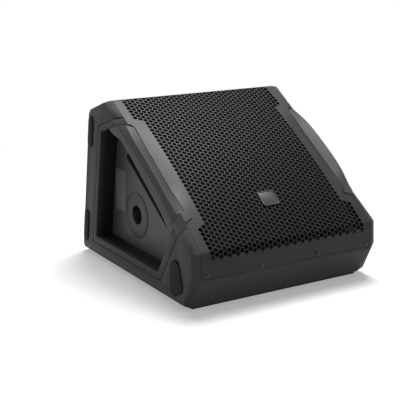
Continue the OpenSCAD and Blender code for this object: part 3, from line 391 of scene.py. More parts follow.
def brushed(name, base, rough, stretch=(1.0, 1.0, 24.0), metallic=1.0):
    """Metal with fine drawn lines: a noise that is stretched along one axis turns the roughness and a
    slight bump."""
    mat, t, shader, spot = new_material(name)
    lines = t.add("ShaderNodeMapping", Vector=spot, Scale=tuple(1.0 / s for s in stretch)).outputs[0]
    fine = t.add("ShaderNodeTexNoise", Vector=lines, Scale=1.0 / LINE_GRAIN, Detail=2.0).outputs["Fac"]
    slow = t.add("ShaderNodeTexNoise", Vector=spot, Scale=60.0, Detail=3.0).outputs["Fac"]
    worn = tuple(c * 0.86 for c in base)
    t.link(blend_colour(t, ramp(t, slow, 0.3, 0.7), worn, base), shader.inputs["Base Color"])
    r = t.add("ShaderNodeMapRange", Value=fine, From_Min=0.3, From_Max=0.7, To_Min=rough * 0.8,
              To_Max=rough * 1.25)
    t.link(r.outputs[0], shader.inputs["Roughness"])
    bump = t.add("ShaderNodeBump", Strength=0.25, Distance=0.00005, Height=fine)
    t.link(bump.outputs["Normal"], shader.inputs["Normal"])
    shader.inputs["Metallic"].default_value = metallic
    return mat


def ply(name, base, front):
    """Plywood: thin plies as bands along the front's normal with wavy grain, and black paint on the face
    that looks out through the grille."""
    mat, t, shader, spot = new_material(name)
    along = t.add("ShaderNodeMapping", {"vector_type": "POINT"}, Vector=spot,
                  Rotation=(-FRONT_TILT, 0.0, 0.0)).outputs[0]
    wave = t.add("ShaderNodeTexWave", {"wave_type": "BANDS", "bands_direction": "Z"}, Vector=along,
                 Scale=90.0, Distortion=1.2, Detail=2.0).outputs["Fac"]
    grain = t.add("ShaderNodeTexNoise", Vector=along, Scale=260.0, Detail=5.0).outputs["Fac"]
    wood = blend_colour(t, wave, tuple(c * 0.62 for c in base), base)
    wood = blend_colour(t, ramp(t, grain, 0.45, 0.7), wood, tuple(c * 0.75 for c in base))
    normal = t.add("ShaderNodeNewGeometry").outputs["Normal"]
    outwards = (0.0, -math.sin(FRONT_TILT), math.cos(FRONT_TILT))
    facing = t.add("ShaderNodeVectorMath", {"operation": "DOT_PRODUCT"}, i0=normal, i1=outwards)
    painted = ramp(t, facing.outputs["Value"], 0.90, 0.98)
    t.link(blend_colour(t, painted, wood, front), shader.inputs["Base Color"])
    bump = t.add("ShaderNodeBump", Strength=0.3, Distance=0.0002, Height=grain)
    t.link(bump.outputs["Normal"], shader.inputs["Normal"])
    shader.inputs["Roughness"].default_value = 0.7
    return mat


def ringed(name, base, step, rough, amount=0.3):
    """A surface with fine rings about the driver's axis: the distance from the axis through a sine gives
    bands, a step apart."""
    mat, t, shader, spot = new_material(name)
    moved = t.add("ShaderNodeMapping", {"vector_type": "TEXTURE"}, Vector=spot, Location=DRIVER_AXIS,
                  Rotation=(FRONT_TILT, 0.0, 0.0))
    flat = t.add("ShaderNodeVectorMath", {"operation": "MULTIPLY"}, i0=moved.outputs[0], i1=(1.0, 1.0, 0.0))
    radius = t.add("ShaderNodeVectorMath", {"operation": "LENGTH"}, i0=flat.outputs[0]).outputs["Value"]
    turns = t.add("ShaderNodeMath", {"operation": "MULTIPLY"}, i0=radius, i1=2 * math.pi / step).outputs[0]
    sine = t.add("ShaderNodeMath", {"operation": "SINE"}, i0=turns)
    band = ramp(t, sine.outputs[0], -1.0, 1.0)
    pulp = t.add("ShaderNodeTexNoise", Vector=spot, Scale=700.0, Detail=4.0).outputs["Fac"]
    mixed = blend_colour(t, ramp(t, pulp, 0.35, 0.65), tuple(c * (1 - amount) for c in base), base)
    t.link(mixed, shader.inputs["Base Color"])
    bump = t.add("ShaderNodeBump", Strength=0.5, Distance=step * 0.12, Height=band).outputs["Normal"]
    fine = t.add("ShaderNodeBump", Strength=0.4, Distance=0.0001, Height=pulp, Normal=bump)
    t.link(fine.outputs["Normal"], shader.inputs["Normal"])
    shader.inputs["Roughness"].default_value = rough
    return mat


def glowing_lens(name, base):
    """A tinted lens over a small lamp: fine cells mix two shades of the tint."""
    mat, t, shader, spot = new_material(name)
    cells = t.add("ShaderNodeTexVoronoi", Vector=spot, Scale=1400.0).outputs["Distance"]
    t.link(blend_colour(t, cells, tuple(c * 0.6 for c in base), base), shader.inputs["Base Color"])
    shader.inputs["Roughness"].default_value = 0.15
    shader.inputs["Coat Weight"].default_value = 0.6
    shader.inputs["Emission Color"].default_value = (*base, 1.0)
    shader.inputs["Emission Strength"].default_value = 0.25
    return mat


def circuit_board(name):
    """Green board with pale traces: stripes in two directions that a noise breaks up."""
    mat, t, shader, spot = new_material(name)
    checks = t.add("ShaderNodeTexVoronoi", {"distance": "CHEBYCHEV"}, Vector=spot, Scale=260.0)
    broken = t.add("ShaderNodeTexNoise", Vector=spot, Scale=90.0, Detail=2.0).outputs["Fac"]
    lines = t.add("ShaderNodeMath", {"operation": "MULTIPLY"},
                  i0=ramp(t, checks.outputs["Distance"], 0.42, 0.46), i1=ramp(t, broken, 0.45, 0.5))
    green = blend_colour(t, lines.outputs[0], (0.012, 0.11, 0.045), (0.09, 0.30, 0.14))
    t.link(green, shader.inputs["Base Color"])
    shader.inputs["Roughness"].default_value = 0.35
    return mat


def fibres(name, base, size, rough=0.95):
    """Felted or foamed stuff: cells and fibres give both colour and relief."""
    mat, t, shader, spot = new_material(name)
    cells = t.add("ShaderNodeTexVoronoi", Vector=spot, Scale=1.0 / size).outputs["Distance"]
    wisps = t.add("ShaderNodeTexNoise", Vector=spot, Scale=0.4 / size, Detail=6.0, Distortion=1.5)
    both = t.add("ShaderNodeMath", {"operation": "MULTIPLY"}, i0=cells, i1=wisps.outputs["Fac"]).outputs[0]
    shade = blend_colour(t, ramp(t, both, 0.0, 0.4), tuple(c * 0.5 for c in base), base)
    t.link(shade, shader.inputs["Base Color"])
    bump = t.add("ShaderNodeBump", Strength=0.8, Distance=size * 0.5, Height=both)
    t.link(bump.outputs["Normal"], shader.inputs["Normal"])
    shader.inputs["Roughness"].default_value = rough
    shader.inputs["Specular IOR Level"].default_value = 0.15
    return mat


def grained_finishes():
    """Paints and plastics with their colours, grain, relief, roughness and gloss."""
    c = bpy.context.scene.wedge_colours
    paint_grain = dict(grain=0.0011, relief=0.00022, rough=0.62, gloss=0.30, amount=0.5)
    plastic = dict(speck=(0.055, 0.055, 0.057), grain=0.0008, relief=0.00010, rough=0.52, amount=0.3,
                   mottle=0.1)
    plate = dict(speck=(0.06, 0.06, 0.065), grain=0.0008, relief=0.00008, rough=0.5, amount=0.3,
                 mottle=0.12)
    rubber = dict(speck=(0.035, 0.035, 0.036), grain=0.0009, relief=0.00008, amount=0.3, mottle=0.1)
    rows = {
        "cabinet_paint": dict(base=c.cabinet, speck=c.speck, **paint_grain),
        "cheek_paint": dict(base=c.cabinet, speck=c.speck, **paint_grain),
        "grille_paint": dict(base=c.grille, speck=(0.03, 0.03, 0.036), grain=0.0009, relief=0.00006,
                             rough=0.42, gloss=0.30, amount=0.30, mottle=0.2),
        "moulding": dict(base=c.moulding, gloss=0.36, **plastic),
        "tray_moulding": dict(base=c.moulding, gloss=0.20, **plastic),
        "tray_plate": dict(base=c.tray_plate, gloss=0.45, **plate),
        "bore_plastic": dict(base=c.tray_plate, gloss=0.35, **plate),
        "badge": dict(base=(0.040, 0.040, 0.043), speck=(0.07, 0.07, 0.075), grain=0.0004, relief=0.00003,
                      rough=0.40, gloss=0.4, amount=0.2, mottle=0.08),
        "label": dict(base=(0.15, 0.15, 0.16), speck=(0.20, 0.20, 0.21), grain=0.0005, relief=0.00003,
                      rough=0.45, gloss=0.35, amount=0.2, mottle=0.1),
        "pad_rubber": dict(base=c.rubber, rough=0.72, gloss=0.3, **rubber),
        "cheek_pad": dict(base=c.rubber, rough=0.66, gloss=0.12, **rubber),
        "basket_paint": dict(base=(0.030, 0.031, 0.034), speck=(0.06, 0.06, 0.065), grain=0.0009,
                             relief=0.0001, rough=0.5),
        "ferrite": dict(base=(0.03, 0.03, 0.032), speck=(0.09, 0.09, 0.095), grain=0.0012, relief=0.00008,
                        rough=0.6),
        "socket_plastic": dict(base=(0.012, 0.012, 0.013), speck=(0.03, 0.03, 0.031), grain=0.0006,
                               relief=0.00003, rough=0.38, amount=0.2, mottle=0.08),
        "button_plastic": dict(base=(0.55, 0.55, 0.57), speck=(0.7, 0.7, 0.72), grain=0.0005,
                               relief=0.00002, rough=0.35),
    }
    return {name: speckled(name, **values) for name, values in rows.items()}


def make_finishes():
    """One finish for each material slot of the record, and a few that belong to one piece."""
    c = bpy.context.scene.wedge_colours
    made = grained_finishes()
    # Painted shade: a dark line along the gap on the cheek, just outside the trays' bezel.
    painted_gap_shade(made["cheek_paint"], 0.0, 0.0018)
    # Painted shade: the tray's walls darken to near black inwards from the bezel.
    painted_recess_shade(made["tray_moulding"], 0.1985, 0.190, (0.004, 0.004, 0.004))
    # Painted shade: the same dark line on the bezel's outer edge.
    painted_gap_shade(made["tray_moulding"], -0.0006, 0.0006)
    # Painted shade: the pole socket's bore is black inside.
    painted_recess_shade(made["bore_plastic"], 0.1667, 0.1660, (0.001, 0.001, 0.001))
    # Painted shade: a dark band round the foot of each pad where it meets the cheek.
    painted_recess_shade(made["cheek_pad"], 0.2044, 0.2038, (0.0005, 0.0005, 0.0005))
    made.update({
        "bare_wood": ply("bare_wood", c.wood, (0.006, 0.006, 0.006)),
        "foam": fibres("foam", c.foam, 0.0012),
        "wadding": fibres("wadding", (0.72, 0.70, 0.66), 0.004),
        "black_screw": brushed("black_screw", (0.05, 0.05, 0.055), 0.38, metallic=0.6),
        "zinc": brushed("zinc", (0.62, 0.63, 0.65), 0.3),
        "copper": brushed("copper", (0.72, 0.33, 0.16), 0.3, (1.0, 1.0, 0.2)),
        "alloy": brushed("alloy", (0.60, 0.61, 0.63), 0.36, (24.0, 1.0, 1.0)),
        "paper_cone": ringed("paper_cone", (0.018, 0.018, 0.020), 0.012, 0.85),
        "surround_cloth": ringed("surround_cloth", (0.012, 0.012, 0.013), 0.0016, 0.7),
        "spider_cloth": ringed("spider_cloth", (0.45, 0.30, 0.10), 0.0012, 0.9),
        "circuit": circuit_board("circuit"),
        "lens": glowing_lens("lens", (0.08, 0.62, 0.16)),
    })
    return made


FINISH = {}
OWN_FINISH = {"left_side_cheek": "cheek_paint", "right_side_cheek": "cheek_paint",
              "left_tray_plate": "tray_plate", "right_tray_plate": "tray_plate", "blank_label_plate": "label"}
# CAD nodes with holed or ring-shaped flat faces, which aren't joined before the edges are rounded.
RINGS = {"amp_plate", "switch_frame", "mains_inlet", "badge_rim"}
# Radius of the rounded edges of the CAD nodes that have any.
EDGE_WIDTHS = {"left_side_cheek": 0.0022, "right_side_cheek": 0.0022, "base_skids": 0.0015,
               "badge_rim": 0.0005, "badge_plate": 0.0004, "amp_plate": 0.0003, "level_knob": 0.0004,
               "tone_knob": 0.0004, "power_rocker": 0.0005, "signal_input": 0.0004, "signal_link": 0.0004,
               "mains_inlet": 0.0005, "mains_outlet": 0.0005, "switch_frame": 0.0004, "input_latch": 0.0004}


# ---------------------------------------------------------------- meshes

def smooth_group(angle=34.0):
    """Node group that smooths faces and keeps edges sharp where two faces meet at more than the angle."""
    name = f"smooth_by_{int(angle)}"
    group = bpy.data.node_groups.get(name)
    if group:
        return group
    group = bpy.data.node_groups.new(name, "GeometryNodeTree")
    group.interface.new_socket("Geometry", in_out="INPUT", socket_type="NodeSocketGeometry")
    group.interface.new_socket("Geometry", in_out="OUTPUT", socket_type="NodeSocketGeometry")
    t = Tree(group)
    start, end = t.add("NodeGroupInput"), t.add("NodeGroupOutput")
    bare = t.add("GeometryNodeRemoveAttribute", Geometry=start.outputs[0], Name="custom_normal")
    turn = t.add("GeometryNodeInputMeshEdgeAngle").outputs["Unsigned Angle"]
    sharp = t.add("FunctionNodeCompare", {"data_type": "FLOAT", "operation": "GREATER_THAN"}, i0=turn,
                  i1=math.radians(angle)).outputs[0]
    edges = t.add("GeometryNodeSetShadeSmooth", {"domain": "EDGE"}, i0=bare.outputs[0], i1=sharp)
    edges.inputs[2].default_value = False
    faces = t.add("GeometryNodeSetShadeSmooth", {"domain": "FACE"}, i0=edges.outputs[0])
    faces.inputs[2].default_value = True
    t.link(faces.outputs[0], end.inputs[0])
    return group


def soften(obj, width, segments=2, weld=True, angle=34.0, join=True):
    """Joins the loose triangles, joins flat faces, rounds the edges by the width and smooths the shading."""
    if weld:
        obj.modifiers.new("weld", "WELD").merge_threshold = 2e-6
    if width > 0.0:
        if join:
            flat = obj.modifiers.new("flat", "DECIMATE")
            flat.decimate_type = "DISSOLVE"
            flat.angle_limit = math.radians(0.4)
        edge = obj.modifiers.new("edge", "BEVEL")
        edge.width = width
        edge.segments = segments
        edge.limit_method = "ANGLE"
        edge.angle_limit = math.radians(angle)
        edge.use_clamp_overlap = True
        edge.miter_outer = "MITER_ARC"
    shading = obj.modifiers.new("smooth", "NODES")
    shading.node_group = smooth_group(angle)


def outward_volume(verts, faces):
    """Sum of the signed volumes under the faces, positive where they face outward. An open sheet counts
    upward."""
    total = 0.0
    base = verts.mean(axis=0)
    for face in faces:
        a = verts[face[0]] - base
        for j in range(1, len(face) - 1):
            total += float(np.dot(a, np.cross(verts[face[j]] - base, verts[face[j + 1]] - base)))
    return total


def mesh_piece(name, verts, faces, finish, slot, *replaced):
    """A new piece of the cabinet from vertices and faces, with its finish and the CAD nodes that it stands
    for, which it hides. The slot is not used. Its faces are turned outward."""
    verts = np.asarray(verts, float)
    if outward_volume(verts, faces) < 0.0:
        faces = [list(reversed(face)) for face in faces]
    mesh = bpy.data.meshes.new(name)
    mesh.from_pydata([tuple(v) for v in verts.tolist()], [], faces)
    mesh.validate()
    mesh.update()
    obj = bpy.data.objects.new(name, mesh)
    bpy.context.scene.collection.objects.link(obj)
    obj.data.materials.append(FINISH[finish])
    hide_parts(*replaced)
    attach(obj, "cabinet")
    return obj


def grid_faces(rows, columns, ring=False, start=0):
    """Quads of a grid of points, row by row. A ring also joins the last column to the first."""
    i, j = np.meshgrid(np.arange(rows - 1), np.arange(columns if ring else columns - 1), indexing="ij")
    k = (j + 1) % columns
    quads = np.stack([i * columns + j, i * columns + k, (i + 1) * columns + k, (i + 1) * columns + j], -1)
    return (quads.reshape(-1, 4) + start).tolist()


def front_profile():
    """The folded front in side view: a straight band, an arc over the fold, a long shallow arc, an arc over
    the top and a straight flange. Gives arc length, points (y, z) and the direction of the outward normal,
    as arrays."""
    p = bpy.context.scene.wedge_sizes
    fold, u, n = chord_axes()
    apex = np.array([p.apex_back, p.apex_height])
    out = np.array([math.sin(TOP_SLOPE), math.cos(TOP_SLOPE)])
    along = np.array([math.cos(TOP_SLOPE), -math.sin(TOP_SLOPE)])
    chord = (apex - fold) @ u
    big = chord * chord / 8 / p.front_bulge + p.front_bulge / 2
    centre = (apex + fold) / 2 - n * (big - p.front_bulge)
    fy = fold[0] + p.fold_radius
    fc = np.array([fy, centre[1] + math.sqrt((big - p.fold_radius) ** 2 - (fy - centre[0]) ** 2)])
    fold_end = math.atan2(fc[1] - centre[1], fc[0] - centre[0])
    q = apex - p.apex_radius * out - centre
    b = q @ along
    ac = q + centre + along * (-b - math.sqrt(b * b - (q @ q - (big - p.apex_radius) ** 2)))
    apex_start = math.atan2(ac[1] - centre[1], ac[0] - centre[0])
    apex_end = math.pi / 2 - TOP_SLOPE

    def sweep(c, r, a):
        """Points on a circle at the directions a."""
        return np.stack([c[0] + r * np.cos(a), c[1] + r * np.sin(a)], -1)

    fold_turn = np.linspace(math.pi, fold_end, FOLD_POINTS)
    long_turn = np.linspace(fold_end, apex_start, LONG_POINTS)
    apex_turn = np.linspace(apex_start, apex_end, FOLD_POINTS)
    z = np.linspace(p.band_bottom, fc[1], BAND_POINTS)[:-1]
    flange = ac + p.apex_radius * out + p.top_flange * along
    points = np.concatenate([np.stack([np.full_like(z, fold[0]), z], -1),
                             sweep(fc, p.fold_radius, fold_turn[:-1]), sweep(centre, big, long_turn[:-1]),
                             sweep(ac, p.apex_radius, apex_turn), flange[None]])
    turn = np.concatenate([np.full_like(z, math.pi), fold_turn[:-1], long_turn[:-1], apex_turn, [apex_end]])
    length = np.concatenate([[0.0], np.cumsum(np.linalg.norm(np.diff(points, axis=0), axis=1))])
    return length, points, turn


def on_front(x, s, lift=0.0):
    """Places points of the unrolled front, at x across and arc length s up, on the folded front, lifted off
    it along its normal."""
    length, points, turn = front_profile()
    a = np.interp(s, length, turn)
    y = np.interp(s, length, points[:, 0]) + lift * np.cos(a)
    z = np.interp(s, length, points[:, 1]) + lift * np.sin(a)
    return np.stack([x + 0 * y, y, z], -1)


def chord_axes():
    """Fold point, direction up the chord and outward normal of the long front, in side view."""
    p = bpy.context.scene.wedge_sizes
    fold = np.array([-p.front_depth, p.fold_height])
    apex = np.array([p.apex_back, p.apex_height])
    u = (apex - fold) / np.linalg.norm(apex - fold)
    return fold, u, np.array([-u[1], u[0]])


def on_chord(x, t, level):
    """Places points at x across, t up the chord from the fold and level above the chord."""
    fold, u, n = chord_axes()
    x, t, level = np.broadcast_arrays(x, t, level)
    return np.stack([x, fold[0] + t * u[0] + level * n[0], fold[1] + t * u[1] + level * n[1]], -1)


def front_chord():
    """Arc length on the front, with the distance up the chord and the height over it, as arrays."""
    length, points, _ = front_profile()
    fold, u, n = chord_axes()
    return length, (points - fold) @ u, (points - fold) @ n


def length_at(t):
    """Arc length on the front at the distance t up the chord."""
    length, along, _ = front_chord()
    return np.interp(t, along, length)


def smooth(v, low, high):
    """Smooth step from 0 at low to 1 at high."""
    k = np.clip((v - low) / (high - low), 0.0, 1.0)
    return k * k * (3.0 - 2.0 * k)


def sheet_fall(x, s):
    """Depth to which the sheet is pressed in along the handles: it grows from the fall's start to the
    handle's inner edge and fades out towards the handle's ends."""
    p = bpy.context.scene.wedge_sizes
    length, along, level = front_chord()
    t = np.interp(s, length, along)
    ends = smooth(t, *FALL_FADES_IN) * (1.0 - smooth(t, *FALL_FADES_OUT))
    across = np.clip((np.abs(x) - p.fall_start) / (p.handle_edge - p.fall_start), 0.0, 1.0) ** 1.25
    return -(np.interp(s, length, level) - p.inner_level) * ends * across


def lug_low(x):
    """Lower edge of the lug at the distance x from the centre, up the chord: level over the cheek, then
    rising towards the tip."""
    p = bpy.context.scene.wedge_sizes
    level_part = x > LUG_FLAT_FROM
    return np.where(level_part, LUG_START + 0.0001, LUG_START + LUG_SLANT * (p.half_width - x))


def lug_top(x):
    """Upper edge of the lug at the distance x from the centre, up the chord: it rises inwards to a corner
    and falls steeply to the tip."""
    corner, top = LUG_CORNER
    outwards, inwards = LUG_FALLS
    return np.where(x >= corner, top - outwards * (x - corner), top - inwards * (corner - x))


def handle_top(x):
    """Upper end of the handle on the front at the distance x from the centre, with its rounded corner."""
    corner = TOP_CORNER[0] * np.clip((TOP_CORNER[1] - x) / TOP_CORNER[2], 0.0, 1.2) ** 2
    return HANDLE_END - HANDLE_SLANT * (HANDLE_FLAT - x) - corner


def hole_places():
    """Centres of the holes on the unrolled front: columns a step apart, with every second one from the
    middle half a row higher, and fewer columns beside the handles."""
    p = bpy.context.scene.wedge_sizes
    i = np.arange(-HOLE_COLUMNS, HOLE_COLUMNS + 1)[:, None]
    k = np.arange(HOLE_ROWS)[None, :]
    x = i * p.column_step + 0.0 * k
    s = p.first_row + (k + np.where(i % 2 == 0, 0.5, 0.0)) * p.row_step
    reach = np.full(s.shape, HOLE_COLUMNS)
    for low, high in HOLE_STEPS:
        reach = reach - ((s > low) & (s < high))
    keep = (np.abs(i) <= reach) & (s < HOLES_END)
    return x[keep], s[keep]


def inside_hex(dx, ds, across):
    """True where an offset lies in a hexagon with flats up and down and corners to the sides: its distances
    along the normals of the flats are all under half the width across them."""
    r = across / 2
    return (np.abs(ds) < r) & (np.abs(ds) * 0.5 + np.abs(dx) * math.sqrt(0.75) < r)


def sheet_outline():
    """Corners of the unrolled grille sheet, anticlockwise, with steps beside the handles and lugs."""
    p = bpy.context.scene.wedge_sizes
    top = float(front_profile()[0][-1])
    w = p.half_front - p.seam
    under_lug = LUG_START + LUG_SLANT * (p.half_width - np.array([w, p.lug_edge])) - LUG_GAP
    low = length_at(under_lug).tolist()
    tip = float(length_at(lug_top(np.array(p.handle_edge)) + 0.0012))
    reach = np.linspace(p.handle_edge, w, 12)
    end = length_at(handle_top(reach) + 0.0008)
    right = [(w, 0.0), (w, low[0]), (p.lug_edge, low[1]), (p.handle_edge, tip),
             *zip(reach.tolist(), end.tolist()), (w, top)]
    left = [(-x, s) for x, s in reversed(right)]
    return np.array(right + left)


def inside_outline(x, s, loop):
    """True for points inside a closed polygon, by counting the edges to their right."""
    x0, s0 = loop[:, 0][:, None], loop[:, 1][:, None]
    x1, s1 = np.roll(loop[:, 0], -1)[:, None], np.roll(loop[:, 1], -1)[:, None]
    span = (s0 > s) != (s1 > s)
    with np.errstate(divide="ignore", invalid="ignore"):
        cross = x0 + (s - s0) * (x1 - x0) / (s1 - s0)
    return (np.sum(span & (x < cross), axis=0) % 2) == 1


def inside_holes(x, s, hx, hs, across):
    """True for points that lie in any of the holes, worked out for a few hundred holes at a time."""
    hit = np.zeros(x.shape, bool)
    for first in range(0, len(hx), 300):
        dx = x[:, None] - hx[None, first:first + 300]
        ds = s[:, None] - hs[None, first:first + 300]
        hit |= inside_hex(dx, ds, across).any(axis=1)
    return hit


def perforated_sheet():
    """The unrolled sheet as triangles between its outline and its hexagonal holes, with extra points where it
    folds, and then laid on the folded front."""
    p = bpy.context.scene.wedge_sizes
    hx, hs = hole_places()
    loop = sheet_outline()
    corner = np.radians(np.arange(6) * 60.0)
    r = p.hole_across / math.sqrt(3)
    hex_x = hx[:, None] + r * np.cos(corner)
    hex_s = hs[:, None] + r * np.sin(corner)
    band, fold = np.linspace(0.004, 0.034, 4), np.linspace(0.0365, 0.052, 12)
    slope, top = np.arange(0.058, 0.430, 0.008), np.linspace(0.4335, 0.4595, 16)
    columns = np.arange(-GRID_REACH, GRID_REACH + 0.0001, GRID_STEP)
    gx, gs = np.meshgrid(columns, np.concatenate([band, fold, slope, top]))
    gx, gs = gx.ravel(), gs.ravel()
    near_hole = inside_holes(gx, gs, hx, hs, p.hole_across + 2 * HOLE_CLEARANCE)
    clear = inside_outline(gx, gs, loop) & ~near_hole
    rim = []
    for a, b in zip(loop, np.roll(loop, -1, axis=0)):
        n = max(1, int(np.ceil(np.linalg.norm(b - a) / RIM_STEP)))
        rim.append(a + (b - a) * (np.arange(n) / n)[:, None])
    rim = np.concatenate(rim)
    hexes = np.stack([hex_x.ravel(), hex_s.ravel()], -1)
    flat = np.concatenate([rim, hexes, np.stack([gx[clear], gs[clear]], -1)])
    count = len(rim)
    edges = np.stack([np.arange(count), np.roll(np.arange(count), -1)], -1)
    ring = count + 6 * np.arange(len(hx))[:, None] + np.arange(6)
    ring_edges = np.stack([ring, np.roll(ring, -1, axis=1)], -1).reshape(-1, 2)
    edges = np.concatenate([edges, ring_edges]).tolist()
    made = geometry.delaunay_2d_cdt([Vector(v) for v in flat.tolist()], edges, [], 0, 1e-7, False)
    pts = np.array([tuple(v) for v in made[0]])
    tris = np.array(made[2])
    mid = pts[tris].mean(axis=1)
    keep = inside_outline(mid[:, 0], mid[:, 1], loop)
    keep &= ~inside_holes(mid[:, 0], mid[:, 1], hx, hs, p.hole_across - 1e-5)
    return on_front(pts[:, 0], pts[:, 1], sheet_fall(pts[:, 0], pts[:, 1])), tris[keep].tolist()


def rounded_sections(corners, radii, count=5):
    """Closed sections with rounded corners: corners holds stations x corners x 2, and each corner becomes a
    curve between the points that lie its radius before and after it."""
    before = np.roll(corners, 1, axis=1) - corners
    after = np.roll(corners, -1, axis=1) - corners
    before /= np.linalg.norm(before, axis=-1, keepdims=True)
    after /= np.linalg.norm(after, axis=-1, keepdims=True)
    r = np.asarray(radii)[None, :, None, None]
    start = corners[:, :, None] + r * before[:, :, None]
    end = corners[:, :, None] + r * after[:, :, None]
    return corner_curve(start, corners[:, :, None], end, count).reshape(len(corners), -1, 2)


def corner_curve(start, corner, end, count):
    """Points of the parabola from start to end that leaves and arrives along the lines to the corner."""
    k = np.linspace(0.0, 1.0, count)[:, None]
    return (1 - k) ** 2 * start + 2 * k * (1 - k) * corner + k ** 2 * end


def handle_shell(side):
    """A side handle as a loft: at each station up the chord its section has a deep outer face, a ridge that
    stands over the cheek, a strip that falls to the grille and a rounded underside. Its lower end follows
    the lug and its upper end the tray."""
    p = bpy.context.scene.wedge_sizes
    v = np.linspace(0.0, 1.0, 90)[:, None]
    under_t = GRIP_T[0] + (GRIP_END - GRIP_T[0]) * v[:, 0]
    top_t = TOP_STRETCH[0] + (TOP_STRETCH[1] - TOP_STRETCH[0]) * v[:, 0]
    depth = np.interp(under_t, GRIP_T, GRIP_DEPTH)
    crest = crest_at(top_t)
    wide = np.full_like(depth, p.half_width)
    inner = np.full_like(depth, p.handle_edge + p.seam)
    inner_level = cheek_level(np.full_like(depth, p.handle_edge), top_t)
    step_low, step_high = (np.full_like(depth, q) for q in ARM_STEP)
    # Each corner of the section as x, level and the radius that rounds it.
    outline = [(wide, -depth, 0.0035), (wide, step_low, 0.0003), (wide, step_high, 0.0003),
               (wide, edge_at(top_t), 0.0014), (crest, ridge_at(top_t), 0.0016),
               (inner, inner_level, 0.0013), (inner, -depth, 0.0035)]
    corners = np.stack([np.stack([x, level], -1) for x, level, _ in outline], 1)
    loop = rounded_sections(corners, [radius for _, _, radius in outline])
    x, level = loop[..., 0], loop[..., 1]
    near_lug = smooth(level, ARM_STEP[0] + 0.0002, ARM_STEP[1] - 0.0002)
    low = GRIP_T[0] + (lug_top(x) + 0.0008 - GRIP_T[0]) * near_lug
    on_top = smooth(level, -0.014, -0.002)
    high = UNDER_TRAY - CUT_LEAN * np.minimum(level, p.inner_level) + (handle_top(x) - HANDLE_END) * on_top
    points = on_chord(side * x, low + (high - low) * v, level)
    rows, n = x.shape
    caps = [list(range(n))[::-1], [(rows - 1) * n + j for j in range(n)]]
    return points.reshape(-1, 3), grid_faces(rows, n, ring=True) + caps


def meet(p, n, q, m):
    """Point where the line through p with the normal n crosses the line through q with the normal m."""
    return np.linalg.solve(np.array([n, m]), np.array([np.dot(n, p), np.dot(m, q)]))


def tray_ring(side):
    """The tray's wall and bezel: one section, with a rounded mouth, runs along the top, back, bottom and
    front of the opening and turns the corners on short curves. The section moves outwards with the width
    that the bezel has on each side."""
    fold, _, n = chord_axes()
    rows = []
    for q, x in TRAY_SECTION:
        lines = [(np.add(point, np.multiply(normal, q * width / PLAIN_BEZEL)), normal)
                 for point, normal, width in TRAY_SIDES]
        stations = [meet(fold + BAND_CUT * n, n, *lines[0])]
        for a, b in zip(lines, lines[1:]):
            corner = meet(*a, *b)
            back = TURN_START + TURN_SHARE * q
            into = np.array([a[1][1], -a[1][0]])
            away = np.array([b[1][1], -b[1][0]])
            into = into if np.dot(into, corner - stations[-1]) > 0 else -into
            away = away if np.dot(away, a[1]) < 0 else -away
            stations += list(corner_curve(corner - back * into, corner, corner + back * away, TURN_POINTS))
        stations.append(meet(fold + LUG_CUT * n, n, *lines[3]))
        path = np.array(stations)
        rows.append(np.concatenate([np.full((len(path), 1), side * x), path], 1))
    grid = np.array(rows).transpose(1, 0, 2)
    length, m = grid.shape[:2]
    caps = [list(range(m))[::-1], [(length - 1) * m + q for q in range(m)]]
    return grid.reshape(-1, 3), grid_faces(length, m, ring=True) + caps


def cheek_level(x, t):
    """Height over the chord of the cheek's bevel and, further in, of the pressed sheet."""
    p = bpy.context.scene.wedge_sizes
    length, along, level = front_chord()
    arc = np.interp(t, along, level)
    inwards = np.clip((p.half_width - x) / (p.half_width - p.half_front), 0.0, 1.0)
    bevel = CHEEK_EDGE + (arc - CHEEK_EDGE) * inwards
    return np.where(x > p.half_front, bevel, arc + sheet_fall(x, np.interp(t, along, length)))


def free_share(t):
    """Share to which the handle stands free over the cheek: 1 halfway up, falling to 0 at its two ends."""
    return np.clip(1.0 - np.abs((np.asarray(t) - FREE_MIDDLE) / FREE_HALF) ** 4, 0.0, 1.0)


def crest_at(t):
    """Distance of the ridge from the centre: it runs in towards the grille at both ends."""
    p = bpy.context.scene.wedge_sizes
    foot = p.half_front + CREST_FOOT
    crest = p.ridge_edge - CREST_DRAW * smooth(t, *CREST_FADE)
    return foot + (crest - foot) * free_share(t) ** 0.6


def edge_at(t):
    """Height over the chord of the handle's outer edge."""
    top_at, fall = EDGE_ARCH
    arch = EDGE_TOP - fall * (t - top_at) ** 2
    return EDGE_FOOT + (arch - EDGE_FOOT) * free_share(t) ** 0.7


def ridge_at(t):
    """Height over the chord of the handle's ridge, down to the cheek at both ends."""
    top_at, fall = RIDGE_ARCH
    arch = bpy.context.scene.wedge_sizes.ridge_height - fall * (t - top_at) ** 2
    foot = cheek_level(crest_at(t), t) + OVER_CHEEK
    return foot + (arch - foot) * free_share(t)


